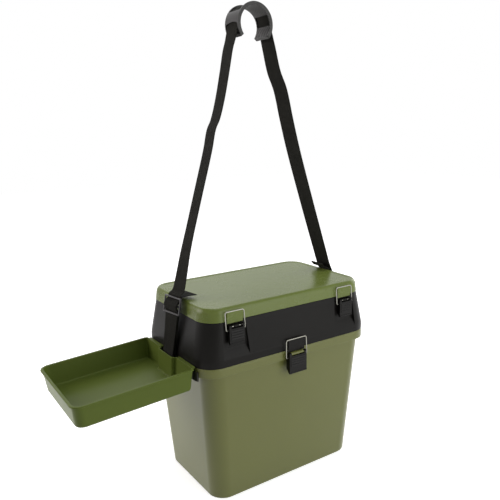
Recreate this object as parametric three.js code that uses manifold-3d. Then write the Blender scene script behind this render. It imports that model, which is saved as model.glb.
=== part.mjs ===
// A fishing seat box: a moulded bucket, a hinged tackle case that sits on it, a hinged seat lid,
// three wire latches, a side tray that hooks on a rail, and a carrying strap with a plastic grip.
// Lengths are millimetres and angles are degrees. +Z is up, the front faces -Y, and the origin is
// the middle of the bucket's underside.

import * as THREE from "three";
import { mergeVertices } from "three/addons/utils/BufferGeometryUtils.js";
import Module from "manifold-3d";

const wasm = await Module();
wasm.setup();

// Fits and smoothness
const gap = 0.3; // between faces that touch
const runningGap = 0.5; // between pieces that turn or slide past each other
const overrun = 2; // how far a cutter runs past what it cuts
const cornerSteps = 6; // flats in a rounded corner
const roundSides = 20; // flats round a boss or knuckle
const pinSides = 12; // flats round a pin or wire hole
const wireSides = 8; // flats round a bent wire
const bendSteps = 4; // flats in a wire's bend

// Bucket
const bucketHeight = 275.9;
const rimLength = 395;
const rimDepth = 246;
const rimCorner = 40;
const rimHeight = 17.2;
const neckSetSide = 11.1; // from the rim in to the wall under it, at the ends
const neckSetFront = 5.25; // and at the front and back
const neckCorner = 36;
const sideDraft = 4.4; // angle by which the end walls lean in towards the base
const frontDraft = 3.81; // and the front and back walls
const baseCorner = 33;
const baseEdge = 3.5;
const baseEdgeShare = 0.3; // where the rounded lower edge has its middle ring
const bucketWall = 3;
const bucketFloor = 3;
const rimSkirt = 2.6;
const rimFlange = 2.8;

// Tackle case
const caseHeight = 80.6;
const caseStraight = 12.4; // upright lower band of the case's wall
const caseDrawSide = 11.55; // how far each end is drawn in from the case's foot to its top
const caseDrawFront = 7.6; // and the front and back
const caseTopCorner = 38;
const caseWall = 3;
const caseFloor = 2.6;
const spigotDepth = 5; // lip under the case that drops into the bucket
const spigotWall = 2.4;
const spigotPlay = 1.2;
const dividerWall = 2;
const dividerDrop = 12; // from the case's top to the dividers' top
const rearBayDepth = 86;
const frontBays = 4;

// Seat lid
const lidHeight = 24.5;
const lidOverhang = 0.6;
const lidWall = 3;
const lidDraft = 2; // how far the lid's wall leans in below its rounded top edge
const lidEdge = 11; // radius of the top edge
const edgeSteps = 5;
const panelMargin = 14.6; // from the lid's side to the sunk panel on its top
const panelDepth = 0.7;
const lidLipDepth = 4;
const lidLipWall = 2;
const lidLipPlay = 0.8;

// Rear hinges
const hingeSpacing = 220;
const knuckleLength = 14;
const knuckleRadius = 4.5;
const knuckleStandoff = 0.7;
const hingePinRadius = 1.6;
const pinPlay = 0.35;
const hingePinOverhang = 1.5;
const knuckleWeb = 8;

// Latches
const latchSpacing = 258; // between the two lid latches
const lidLeverWidth = 32;
const lidLeverDrop = 32.5;
const lidPivotDrop = 8.3; // from the case's top down to the pivot
const lidPivotStandoff = 6.6; // from the pocket's back to the pivot
const lidBailWidth = 42;
const lidBailRise = 35.3; // from its feet to its bar
const bucketLeverWidth = 41;
const bucketLeverDrop = 38.2;
const bucketPivotDrop = 5.7; // from the bucket's top down to the pivot
const bucketPivotStandoff = 7.4; // from the bucket's rim to the pivot
const bucketBailWidth = 50;
const bucketBailRise = 35.5;
const leverFace = 3.6; // from the pivot to the lever's front
const leverPlate = 2.2;
const leverFlange = 2.4;
const leverSlant = 9; // how far a flange's lower end is cut away upwards
const leverEar = 2.8; // how far the lever stands above its pivot
const leverBackPlay = 0.45;
const lidLugHalf = 11.5;
const bucketLugHalf = 14.6;
const lugRadius = 2.5;
const lugPlay = 0.6;
const latchPinRadius = 1.1;
const footDrop = 7; // from the pivot down to the bail's feet
const footSet = 1.5; // and back towards the wall
const wireRadius = 1.15;
const bailCorner = 4;
const footBend = 2.2;
const gripRibs = 4;
const gripRibHeight = 1.3;
const gripRibPitch = 3.1;
const gripRibProud = 0.7;
const gripRibMargin = 4;
const pocketHalf = 22.5;
const pocketFlare = 5.5;
const pocketHeight = 67;
const pocketRamp = 18; // height of the slope that brings the pocket's back out at its foot
const pocketDepth = 0.8; // at the case's top edge
const pocketWall = 2.8;
const keeperPlay = 0.35;
const lidKeeperHalf = 16.8;
const lidKeeperTop = 18.3; // above the lid's lower edge
const lidKeeperHang = 3.6; // below the lid's lower edge
const caseKeeperHalf = 18;
const caseKeeperHeight = 20;
const caseKeeperLift = 0.6;

// Side brackets, one at each end, for the tray's hooks and the strap
const bracketHalf = 98;
const bracketPlate = 2.2;
const bracketDrop = 23.9; // from the bucket's top to the plate's foot
const shelfDrop = 8.4; // from the bucket's top to the shelf's underside
const shelfThick = 2.2;
const railGap = 3.1; // between the plate's inner face and the rail
const railThick = 1.8;
const railStart = 33; // the rail's two runs leave the middle free for the strap
const railEnd = 82;
const railDrop = 0.1;
const earInner = 23;
const earThick = 3.5;
const earRadius = 3.6;
const strapBarRadius = 1.7;
const strapBarStandoff = 6.2; // from the bracket's back to the bar's middle
const strapBarDrop = 7.9; // from the bucket's top
const rivetRadius = 1.8;
const rivetHead = 3.2;
const rivetHeadThick = 1.5;
const rivetLength = 6.6;
const rivetDrop = 12.9;
const rivetPlaces = [-76, -46, 46, 76];

// Side tray
const trayLength = 221.6;
const trayWidth = 202.5;
const trayDepth = 42;
const trayWall = 2.2;
const trayFloor = 2.2;
const traySag = 3.04; // the hooked tray hangs down a little at its outer end
const trayBead = 3; // how far the rim stands out
const trayBeadHeight = 2.8;
const trayHookThick = 1.6;
const trayHookDrop = 8.5;
const trayHookStart = 36;
const trayHookEnd = 79;
const trayFlange = 2.5;
const trayFlangeEnd = 92;
const trayWallSet = 4.9; // from the hook's face to the tray's wall
const trayNotchHalf = 35; // at the notch's mouth
const trayNotchSlant = 8; // how much narrower it is at its back, on each side
const trayNotchDepth = 7;
const trayInnerCorner = 7;
const trayOuterCorner = 16;
const trayNearDraft = 5;
const trayFarDraft = 4;
const traySideDraft = 6.2;
const trayHookOut = 0.8; // from the bucket's rim to the hook

// Carrying strap
const webbingWidth = 38;
const webbingThick = 1.6;
const sliderLength = 50;
const sliderBarPitch = 14.5;
const sliderBarRadius = 1.5;
const sliderSide = 3.6;
const sliderLean = 11;
const sliderOut = 5.3; // from the bucket's rim out to the slider's middle
const webbingPlay = 0.35;
const leftSliderDrop = 8.6; // from the lid's top down to the slider's middle
const rightSliderDrop = 35.1;
const leftSliderForward = 14;
const rightSliderBack = 4;
const layerPlay = 0.9; // between the two layers of webbing in a slider
const gripBore = 32.4;
const gripShell = 1.9; // the grip's wall under the webbing
const gripLength = 44;
const gripMouth = 52; // half of the angle that is open at the bottom
const gripEnd = 8; // angle at each end over which the grip keeps its whole thickness
const gripRise = 492.5; // from the lid's top up to the grip's middle
const gripAcross = -8.4;
const gripBack = 1;
const channelPlay = 0.6; // beside the webbing on the grip
const bridgeThick = 2.1;
const bridgeHigh = 54; // angles from straight up where a bridge starts and ends
const bridgeLow = 95;
const bridgeArch = 6; // how far a bridge's lower edge is arched
const windowHigh = 57;
const windowLow = 91;
const webbingTurn = 92; // angle from straight up where the webbing leaves the grip
const arcSteps = 40;
const bridgeSteps = 6;
const weaveSteps = 14;
const turnSteps = 8;

// Colours and finishes
const oliveColour = 0x6c7a3a;
const blackColour = 0x2d2c2c;
const steelColour = 0xc9c6bd;
const webbingColour = 0x2f2f2c;
const gripColour = 0x4a4a45;

const olive = { color: oliveColour, roughness: 0.42, metalness: 0 };
const black = { color: blackColour, roughness: 0.5, metalness: 0 };
const steel = { color: steelColour, roughness: 0.28, metalness: 1 };
const webbing = { color: webbingColour, roughness: 0.9, metalness: 0 };
const gripPlastic = { color: gripColour, roughness: 0.6, metalness: 0 };

// Heights and faces that several pieces share
const neckHeight = bucketHeight - rimHeight;
const neckLength = rimLength - 2 * neckSetSide;
const neckDepth = rimDepth - 2 * neckSetFront;
const baseLength = neckLength - 2 * neckHeight * Math.tan(degrees(sideDraft));
const baseDepth = neckDepth - 2 * neckHeight * Math.tan(degrees(frontDraft));
const caseFoot = bucketHeight + gap;
const caseTop = caseFoot + caseHeight;
const caseTopLength = rimLength - 2 * caseDrawSide;
const caseTopDepth = rimDepth - 2 * caseDrawFront;
const lidFoot = caseTop + gap;
const lidTop = lidFoot + lidHeight;
const rimSide = rimLength / 2;
const rimFront = rimDepth / 2;
const caseTopFront = caseTopDepth / 2;
const lidLength = caseTopLength + 2 * lidOverhang;
const lidDepth = caseTopDepth + 2 * lidOverhang;
const lidFront = lidDepth / 2;
const caseHingeHeight = bucketHeight + gap / 2;
const caseHingeBack = rimFront + knuckleStandoff + knuckleRadius;
const lidHingeHeight = caseTop + gap / 2;
const lidHingeBack = lidFront + knuckleStandoff + knuckleRadius;
const pocketBack = caseTopFront - pocketDepth;
const lidPivotFront = pocketBack + lidPivotStandoff;
const lidPivotHeight = caseTop - lidPivotDrop;
const bucketPivotFront = rimFront + bucketPivotStandoff;
const bucketPivotHeight = bucketHeight - bucketPivotDrop;
const barClear = footSet + wireRadius + keeperPlay;
const leftSliderHeight = lidTop - leftSliderDrop;
const rightSliderHeight = lidTop - rightSliderDrop;
const gripHeight = lidTop + gripRise;
const gripChannel = gripBore + gripShell;
const gripSeat = gripChannel + webbingPlay + webbingThick / 2;
const gripUnderBridge = gripChannel + webbingThick + 2 * webbingPlay;
const gripRadius = gripUnderBridge + bridgeThick;

// Turns a closed three.js geometry into a solid that can be cut and joined.
function solidOf(geometry) {
  geometry.deleteAttribute("normal");
  geometry.deleteAttribute("uv");
  const merged = mergeVertices(geometry);
  return new wasm.Manifold(
    new wasm.Mesh({
      numProp: 3,
      vertProperties: Float32Array.from(merged.getAttribute("position").array),
      triVerts: Uint32Array.from(merged.getIndex().array),
    }),
  );
}

function geometryOf(solid) {
  const mesh = solid.getMesh();
  const geometry = new THREE.BufferGeometry();
  geometry.setAttribute("position", new THREE.BufferAttribute(mesh.vertProperties, 3));
  geometry.setIndex(new THREE.BufferAttribute(mesh.triVerts, 1));
  geometry.computeVertexNormals();
  return geometry;
}

function piece(name, solid, finish) {
  const mesh = new THREE.Mesh(geometryOf(solid), new THREE.MeshStandardMaterial(finish));
  mesh.name = name;
  return mesh;
}

function join(solids) {
  return solids.reduce((whole, next) => whole.add(next));
}

// A box between two corners.
function block(x0, x1, y0, y1, z0, z1) {
  const geometry = new THREE.BoxGeometry(Math.abs(x1 - x0), Math.abs(y1 - y0), Math.abs(z1 - z0));
  geometry.translate((x0 + x1) / 2, (y0 + y1) / 2, (z0 + z1) / 2);
  return solidOf(geometry);
}

// A round bar along X or Y, centred on a point.
function bar(axis, radius, length, x, y, z, sides = roundSides) {
  const geometry = new THREE.CylinderGeometry(radius, radius, length, sides);
  if (axis === "x") geometry.rotateZ(Math.PI / 2);
  geometry.translate(x, y, z);
  return solidOf(geometry);
}

// A profile in Y and Z, drawn out along X.
function alongX(points, x0, x1) {
  const shape = new THREE.Shape(points.map(([y, z]) => new THREE.Vector2(y, z)));
  const geometry = new THREE.ExtrudeGeometry(shape, { depth: x1 - x0, bevelEnabled: false });
  geometry.applyMatrix4(new THREE.Matrix4().set(0, 0, 1, 0, 1, 0, 0, 0, 0, 1, 0, 0, 0, 0, 0, 1));
  geometry.translate(x0, 0, 0);
  return solidOf(geometry);
}

// A profile in X and Z, drawn out along Y.
function alongYGeometry(points, y0, y1) {
  const shape = new THREE.Shape(points.map(([x, z]) => new THREE.Vector2(x, z)));
  const geometry = new THREE.ExtrudeGeometry(shape, { depth: y1 - y0, bevelEnabled: false });
  geometry.rotateX(Math.PI / 2);
  geometry.translate(0, y1, 0);
  return geometry;
}

function alongY(points, y0, y1) {
  return solidOf(alongYGeometry(points, y0, y1));
}

// The points of a rounded rectangle, anticlockwise, with a radius for each corner.
function outline(x0, x1, y0, y1, radii) {
  const corners = [
    [x1, y1, -1, -1],
    [x0, y1, 1, -1],
    [x0, y0, 1, 1],
    [x1, y0, -1, 1],
  ];
  return corners.flatMap(([x, y, inX, inY], turn) => {
    const radius = radii[turn];
    const points = [];
    for (let step = 0; step <= cornerSteps; step++) {
      const angle = ((turn + step / cornerSteps) * Math.PI) / 2;
      points.push([
        x + inX * radius + radius * Math.cos(angle),
        y + inY * radius + radius * Math.sin(angle),
      ]);
    }
    return points;
  });
}

function centred(length, depth, radius) {
  return outline(-length / 2, length / 2, -depth / 2, depth / 2, Array(4).fill(radius));
}

// A closed solid through outlines at rising heights, each with as many points.
function loft(levels) {
  const count = levels[0].points.length;
  const positions = levels.flatMap(({ z, points }) => points.flatMap(([x, y]) => [x, y, z]));
  const faces = [];
  for (let level = 0; level < levels.length - 1; level++) {
    for (let i = 0; i < count; i++) {
      const a = level * count + i;
      const b = level * count + ((i + 1) % count);
      faces.push(a, b, b + count, a, b + count, a + count);
    }
  }
  for (const [level, up] of [[0, false], [levels.length - 1, true]]) {
    const ring = levels[level].points;
    const middle = positions.length / 3;
    positions.push(
      ring.reduce((sum, point) => sum + point[0], 0) / count,
      ring.reduce((sum, point) => sum + point[1], 0) / count,
      levels[level].z,
    );
    for (let i = 0; i < count; i++) {
      const a = level * count + i;
      const b = level * count + ((i + 1) % count);
      faces.push(middle, up ? a : b, up ? b : a);
    }
  }
  const geometry = new THREE.BufferGeometry();
  geometry.setAttribute("position", new THREE.Float32BufferAttribute(positions, 3));
  geometry.setIndex(faces);
  return solidOf(geometry);
}

function ramp(low, high, share) {
  return low + (high - low) * share;
}

function degrees(angle) {
  return (angle * Math.PI) / 180;
}

// The bucket's tapered wall: its outline at a height, drawn in by an inset.
function bucketOutline(z, inset) {
  const share = z / neckHeight;
  return centred(
    ramp(baseLength, neckLength, share) - 2 * inset,
    ramp(baseDepth, neckDepth, share) - 2 * inset,
    ramp(baseCorner, neckCorner, share) - inset,
  );
}

function rimOutline(inset) {
  return centred(rimLength - 2 * inset, rimDepth - 2 * inset, rimCorner - inset);
}

// Knuckles of one rear hinge, with the web that carries them on a wall. The middle knuckle belongs
// to the piece above and the outer two to the piece below.
function knuckles(x, axisBack, axisHeight, wallBack, above) {
  const pitch = knuckleLength + runningGap;
  const places = above ? [0] : [-pitch, pitch];
  const solids = places.flatMap((place) => {
    const x0 = x + place - knuckleLength / 2;
    const x1 = x + place + knuckleLength / 2;
    const z0 = above ? axisHeight + gap / 2 : axisHeight - knuckleWeb;
    const z1 = above ? axisHeight + knuckleWeb : axisHeight - gap / 2;
    return [
      bar("x", knuckleRadius, knuckleLength, x + place, axisBack, axisHeight),
      block(x0, x1, wallBack - lidWall / 2, axisBack, z0, z1),
    ];
  });
  return join(solids);
}

function hingeBore(x, axisBack, axisHeight) {
  const length = 3 * knuckleLength + 2 * runningGap + 2 * overrun;
  return bar("x", hingePinRadius + pinPlay, length, x, axisBack, axisHeight, pinSides);
}

function hingePin(name, x, axisBack, axisHeight) {
  const length = 3 * knuckleLength + 2 * runningGap + 2 * hingePinOverhang;
  const pin = piece(name, bar("x", hingePinRadius, length, 0, 0, 0, pinSides), steel);
  pin.position.set(x, axisBack, axisHeight);
  return pin;
}

// The lug that a latch lever turns on: a web from the wall with a round end about the pin.
function latchLug(x, half, wallFront, pivotFront, pivotHeight) {
  const [low, high] = [pivotHeight - lugRadius, pivotHeight + lugRadius];
  const web = block(x - half, x + half, -pivotFront, -wallFront, low, high);
  const nose = bar("x", lugRadius, 2 * half, x, -pivotFront, pivotHeight);
  return web.add(nose);
}

function latchBore(x, half, pivotFront, pivotHeight) {
  return bar("x", latchPinRadius + gap, 2 * half + 2 * overrun, x, -pivotFront, pivotHeight, pinSides);
}

function makeBucket() {
  const body = loft([
    { z: 0, points: bucketOutline(0, baseEdge) },
    { z: baseEdge * baseEdgeShare, points: bucketOutline(0, baseEdge * baseEdgeShare) },
    { z: baseEdge, points: bucketOutline(baseEdge, 0) },
    { z: bucketHeight, points: bucketOutline(bucketHeight, 0) },
  ]);
  const band = loft([
    { z: neckHeight, points: rimOutline(0) },
    { z: bucketHeight, points: rimOutline(0) },
  ]);
  const underRim = loft([
    { z: neckHeight - overrun, points: rimOutline(rimSkirt) },
    { z: bucketHeight - rimFlange, points: rimOutline(rimSkirt) },
  ]).subtract(body);
  const cavity = loft([
    { z: bucketFloor, points: bucketOutline(bucketFloor, bucketWall) },
    { z: bucketHeight + overrun, points: bucketOutline(bucketHeight + overrun, bucketWall) },
  ]);
  let bucket = body.add(band).subtract(underRim).subtract(cavity);
  const lugRoot = rimFront - rimSkirt / 2;
  bucket = bucket.add(latchLug(0, bucketLugHalf, lugRoot, bucketPivotFront, bucketPivotHeight));
  bucket = bucket.subtract(latchBore(0, bucketLugHalf, bucketPivotFront, bucketPivotHeight));
  for (const side of [-1, 1]) {
    const x = (side * hingeSpacing) / 2;
    bucket = bucket.add(knuckles(x, caseHingeBack, caseHingeHeight, rimFront, false));
    bucket = bucket.subtract(hingeBore(x, caseHingeBack, caseHingeHeight));
    for (const y of rivetPlaces) {
      const reach = 2 * (rimSkirt + overrun);
      const hole = bar("x", rivetRadius + gap, reach, side * rimSide, y, bucketHeight - rivetDrop, pinSides);
      bucket = bucket.subtract(hole);
    }
  }
  return piece("bucket", bucket, olive);
}

// The case's outer wall: upright at its foot, then drawn in to its top. Heights are from its foot.
function caseOutline(z, inset) {
  const share = Math.max(0, (z - caseStraight) / (caseHeight - caseStraight));
  return centred(
    ramp(rimLength, caseTopLength, share) - 2 * inset,
    ramp(rimDepth, caseTopDepth, share) - 2 * inset,
    ramp(rimCorner, caseTopCorner, share) - inset,
  );
}

function caseLoft(z0, z1, inset) {
  return loft([
    { z: caseFoot + z0, points: caseOutline(z0, inset) },
    { z: caseFoot + caseStraight, points: caseOutline(caseStraight, inset) },
    { z: caseFoot + z1, points: caseOutline(z1, inset) },
  ]);
}

// The recess in the case's front that a lid latch lies in. It is wider towards its foot, where its
// upright back slopes out to the wall.
function pocket(x, grow) {
  const top = caseTop + overrun;
  const foot = caseTop - pocketHeight - grow;
  const low = pocketHalf + pocketFlare + grow;
  const high = pocketHalf + grow;
  const front = -(rimFront + overrun);
  const back = -(pocketBack - grow);
  const flank = new THREE.Shape([
    new THREE.Vector2(x - low, foot),
    new THREE.Vector2(x + low, foot),
    new THREE.Vector2(x + high, top),
    new THREE.Vector2(x - high, top),
  ]);
  const geometry = new THREE.ExtrudeGeometry(flank, { depth: back - front, bevelEnabled: false });
  geometry.rotateX(Math.PI / 2);
  geometry.translate(0, back, 0);
  const profile = [
    [front, foot],
    [-rimFront, foot],
    [back, foot + pocketRamp],
    [back, top],
    [front, top],
  ];
  return solidOf(geometry).intersect(alongX(profile, x - low, x + low));
}

function makeCase() {
  const outer = caseLoft(0, caseHeight, 0);
  const cavity = caseLoft(caseFloor, caseHeight + overrun, caseWall);
  const spigotZ = caseFoot - spigotDepth;
  const spigot = loft([
    { z: spigotZ, points: bucketOutline(spigotZ, bucketWall + spigotPlay) },
    { z: caseFoot + caseFloor / 2, points: bucketOutline(bucketHeight, bucketWall + spigotPlay) },
  ]).subtract(
    loft([
      { z: spigotZ - overrun, points: bucketOutline(spigotZ, bucketWall + spigotPlay + spigotWall) },
      { z: caseFoot, points: bucketOutline(bucketHeight, bucketWall + spigotPlay + spigotWall) },
    ]),
  );
  const dividerTop = caseTop - dividerDrop;
  const rail = rimFront - caseWall - rearBayDepth;
  const dividers = [block(-rimSide, rimSide, rail - dividerWall, rail, caseFoot, dividerTop)];
  for (let bay = 1; bay < frontBays; bay++) {
    const x = rimSide * ((2 * bay) / frontBays - 1);
    dividers.push(block(x - dividerWall / 2, x + dividerWall / 2, -rimFront, rail, caseFoot, dividerTop));
  }
  let shell = outer.subtract(cavity).add(join(dividers).intersect(outer)).add(spigot);
  for (const side of [-1, 1]) {
    const latchX = (side * latchSpacing) / 2;
    shell = shell.add(pocket(latchX, pocketWall).intersect(outer)).subtract(pocket(latchX, 0));
    const lugRoot = pocketBack - pocketWall / 2;
    shell = shell.add(latchLug(latchX, lidLugHalf, lugRoot, lidPivotFront, lidPivotHeight));
    shell = shell.subtract(latchBore(latchX, lidLugHalf, lidPivotFront, lidPivotHeight));
    const hingeX = (side * hingeSpacing) / 2;
    shell = shell.add(knuckles(hingeX, caseHingeBack, caseHingeHeight, rimFront, true));
    shell = shell.subtract(hingeBore(hingeX, caseHingeBack, caseHingeHeight));
    shell = shell.add(knuckles(hingeX, lidHingeBack, lidHingeHeight, caseTopFront, false));
    shell = shell.subtract(hingeBore(hingeX, lidHingeBack, lidHingeHeight));
  }
  const keeperFoot = caseFoot + caseKeeperLift;
  const keeper = block(
    -caseKeeperHalf,
    caseKeeperHalf,
    -(bucketPivotFront - barClear),
    -(rimFront - caseWall),
    keeperFoot,
    keeperFoot + caseKeeperHeight,
  ).subtract(cavity);
  return piece("case", shell.add(keeper), black);
}

// The lid's outline at rising heights: a wall that leans in a little, then rounds over its top edge.
function lidLevels(inset, z0, top) {
  const round = Math.max(lidEdge - inset, lidWall);
  const levels = [];
  const level = (z, drawn) =>
    levels.push({
      z,
      points: centred(
        lidLength - 2 * (inset + drawn),
        lidDepth - 2 * (inset + drawn),
        caseTopCorner - inset - drawn,
      ),
    });
  level(z0, 0);
  for (let step = 0; step <= edgeSteps; step++) {
    const angle = ((step / edgeSteps) * Math.PI) / 2;
    level(top - round + round * Math.sin(angle), lidDraft + round * (1 - Math.cos(angle)));
  }
  return levels;
}

function makeLid() {
  const outer = loft(lidLevels(0, lidFoot, lidTop));
  const cavity = loft(lidLevels(lidWall, lidFoot - overrun, lidTop - lidWall));
  const panel = loft(
    [lidTop - panelDepth, lidTop + overrun].map((z) => ({
      z,
      points: centred(lidLength - 2 * panelMargin, lidDepth - 2 * panelMargin, caseTopCorner - lidEdge),
    })),
  );
  const lipInside = caseWall + lidLipPlay + lidLipWall;
  const ringLevel = (z, inset) => ({
    z,
    points: centred(caseTopLength - 2 * inset, caseTopDepth - 2 * inset, caseTopCorner - inset),
  });
  const ring = (z0, z1, outside) =>
    loft([ringLevel(z0, outside), ringLevel(z1, outside)]).subtract(
      loft([ringLevel(z0 - overrun, lipInside), ringLevel(z1 + overrun, lipInside)]),
    );
  const lip = ring(lidFoot - lidLipDepth, lidFoot + lidWall, caseWall + lidLipPlay);
  // The lip hangs from a ledge that runs round inside the lid's wall.
  const ledge = ring(lidFoot, lidFoot + lidWall, 0);
  let lid = outer.subtract(cavity).subtract(panel).add(lip).add(ledge);
  for (const side of [-1, 1]) {
    const hingeX = (side * hingeSpacing) / 2;
    lid = lid.add(knuckles(hingeX, lidHingeBack, lidHingeHeight, lidFront, true));
    lid = lid.subtract(hingeBore(hingeX, lidHingeBack, lidHingeHeight));
    const x = (side * latchSpacing) / 2;
    const nose = -(lidPivotFront - barClear);
    const body = block(
      x - lidKeeperHalf,
      x + lidKeeperHalf,
      nose,
      -(lidFront - lidDraft - lidWall),
      lidFoot,
      lidFoot + lidKeeperTop,
    );
    const tongue = block(
      x - lidKeeperHalf,
      x + lidKeeperHalf,
      nose,
      -(pocketBack + runningGap),
      lidFoot - lidKeeperHang,
      lidFoot + lidWall,
    );
    lid = lid.add(body.subtract(cavity)).add(tongue);
  }
  return piece("lid", lid, olive);
}

// A latch lever about its pivot: a ribbed plate with two deep flanges. It is notched at the top,
// where the lug shows through.
function makeLever(name, width, drop, lugHalf, backReach) {
  const half = width / 2;
  const reach = backReach - leverBackPlay;
  const plateBack = leverPlate - leverFace;
  const plate = block(-half, half, -leverFace, plateBack, -drop, leverEar);
  const notch = block(
    -lugHalf - lugPlay,
    lugHalf + lugPlay,
    -leverFace - overrun,
    plateBack + overrun,
    -lugRadius - lugPlay,
    leverEar + overrun,
  );
  const plateMiddle = plateBack - leverPlate / 2;
  const profile = [
    [plateMiddle, -drop],
    [plateBack, -drop],
    [reach, -drop + leverSlant],
    [reach, -leverEar],
    [reach / 2, leverEar],
    [plateMiddle, leverEar],
  ];
  let lever = plate.subtract(notch);
  for (const side of [-1, 1]) {
    const x0 = side < 0 ? -half : half - leverFlange;
    lever = lever.add(alongX(profile, x0, x0 + leverFlange));
  }
  for (let rib = 0; rib < gripRibs; rib++) {
    const z = -lugRadius - lugPlay - gripRibMargin - rib * gripRibPitch;
    const ridge = block(
      gripRibMargin - half,
      half - gripRibMargin,
      -leverFace - gripRibProud,
      plateBack,
      z - gripRibHeight,
      z,
    );
    lever = lever.add(ridge);
  }
  lever = lever.subtract(bar("x", latchPinRadius + gap, width + overrun, 0, 0, 0, pinSides));
  lever = lever.subtract(bar("x", wireRadius + gap, width + overrun, 0, footSet, -footDrop, pinSides));
  return piece(name, lever, black);
}

// A route of straight runs through a list of points, for drawing a section along.
class Route extends THREE.Curve {
  constructor(points) {
    super();
    this.points = points;
  }

  getPoint(t) {
    const place = Math.min(Math.max(t, 0), 1) * (this.points.length - 1);
    const start = Math.min(Math.floor(place), this.points.length - 2);
    return this.points[start].clone().lerp(this.points[start + 1], place - start);
  }

  getPointAt(u) {
    return this.getPoint(u);
  }

  getTangentAt(u) {
    return this.getTangent(u);
  }
}

// A bent wire bail about its feet: in from the lever's flanges, up both sides and across the top.
function makeBail(name, width, rise, leverWidth) {
  const arm = width / 2 - wireRadius;
  const footEnd = leverWidth / 2 - leverFlange;
  const turn = (x, z, radius, quarter) =>
    Array.from({ length: bendSteps + 1 }, (_, step) => {
      const angle = ((quarter + step / bendSteps) * Math.PI) / 2;
      return new THREE.Vector3(x + radius * Math.cos(angle), 0, z + radius * Math.sin(angle));
    });
  const right = [
    new THREE.Vector3(footEnd, 0, 0),
    ...turn(arm - footBend, footBend, footBend, -1),
    ...turn(arm - bailCorner, rise - bailCorner, bailCorner, 0),
  ];
  const left = right.map((point) => new THREE.Vector3(-point.x, 0, point.z)).reverse();
  const points = [...right, ...left];
  const section = new THREE.Shape();
  for (let side = 0; side < wireSides; side++) {
    const angle = (2 * Math.PI * side) / wireSides;
    const [x, y] = [wireRadius * Math.cos(angle), wireRadius * Math.sin(angle)];
    if (side === 0) section.moveTo(x, y);
    else section.lineTo(x, y);
  }
  const geometry = new THREE.ExtrudeGeometry(section, {
    steps: points.length - 1,
    extrudePath: new Route(points),
    bevelEnabled: false,
  });
  return piece(name, solidOf(geometry), steel);
}

function makeLatch(label, x, pivotFront, pivotHeight, sizes) {
  const group = new THREE.Group();
  group.position.set(x, -pivotFront, pivotHeight);
  const lever = makeLever(`latch_lever_${label}`, sizes.width, sizes.drop, sizes.lugHalf, sizes.reach);
  const bail = makeBail(`latch_bail_${label}`, sizes.bailWidth, sizes.bailRise, sizes.width);
  bail.position.set(0, footSet, -footDrop);
  const length = sizes.width - 2 * gap;
  const pin = piece(`latch_pin_${label}`, bar("x", latchPinRadius, length, 0, 0, 0, pinSides), steel);
  group.add(lever, bail, pin);
  return group;
}

// A bracket on one end of the bucket's rim: a plate that hugs the rim, a rail in two runs for the
// tray's hooks, and two ears for the strap's bar.
function makeBracket(name, side) {
  const plateFoot = bucketHeight - bracketDrop;
  const shelfFoot = bucketHeight - shelfDrop;
  const shelfTop = shelfFoot + shelfThick;
  const hug = (inset) =>
    loft([plateFoot, shelfTop].map((z) => ({ z, points: rimOutline(inset) })));
  const inner = loft(
    [plateFoot - overrun, shelfTop + overrun].map((z) => ({ z, points: rimOutline(-gap) })),
  );
  const [plateBack, plateFront] = [rimSide - rimCorner, rimSide + rimCorner];
  const plateBox = block(plateBack, plateFront, -bracketHalf, bracketHalf, plateFoot, shelfTop);
  let bracket = hug(-gap - bracketPlate).subtract(inner).intersect(plateBox);
  const face = rimSide + gap;
  const railInner = face + railGap;
  const railOuter = railInner + railThick;
  const railTop = bucketHeight - railDrop;
  const barOut = face + strapBarStandoff;
  const barHeight = bucketHeight - strapBarDrop;
  for (const end of [-1, 1]) {
    const ys = [end * railStart, end * railEnd].sort((a, b) => a - b);
    bracket = bracket.add(block(face, railOuter, ys[0], ys[1], shelfFoot, shelfTop));
    bracket = bracket.add(block(railInner, railOuter, ys[0], ys[1], shelfFoot, railTop));
    const ears = [end * earInner, end * (earInner + earThick)].sort((a, b) => a - b);
    bracket = bracket.add(block(face, barOut, ears[0], ears[1], barHeight - earRadius, barHeight + gap));
    bracket = bracket.add(bar("y", earRadius, earThick, barOut, (ears[0] + ears[1]) / 2, barHeight));
  }
  const boreLength = 2 * (earInner + earThick + overrun);
  bracket = bracket.subtract(
    bar("y", strapBarRadius + pinPlay, boreLength, barOut, 0, barHeight, pinSides),
  );
  for (const y of rivetPlaces) {
    const length = 2 * (bracketPlate + overrun);
    const hole = bar("x", rivetRadius + gap, length, face, y, bucketHeight - rivetDrop, pinSides);
    bracket = bracket.subtract(hole);
  }
  const mesh = piece(name, bracket, black);
  if (side < 0) mesh.rotation.z = Math.PI;
  return mesh;
}

function makeStrapBar(name, side) {
  const length = 2 * (earInner + earThick) - 2 * gap;
  const rod = piece(name, bar("y", strapBarRadius, length, 0, 0, 0, pinSides), steel);
  rod.position.set(side * (rimSide + gap + strapBarStandoff), 0, bucketHeight - strapBarDrop);
  return rod;
}

function makeRivet(name, side, y) {
  const shank = bar("x", rivetRadius, rivetLength, (rivetHeadThick - rivetLength) / 2, 0, 0, pinSides);
  const head = bar("x", rivetHead, rivetHeadThick, rivetHeadThick / 2, 0, 0);
  const rivet = piece(name, shank.add(head), steel);
  if (side < 0) rivet.rotation.z = Math.PI;
  rivet.position.set(side * (rimSide + gap + bracketPlate + gap), y, bucketHeight - rivetDrop);
  return rivet;
}

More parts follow.
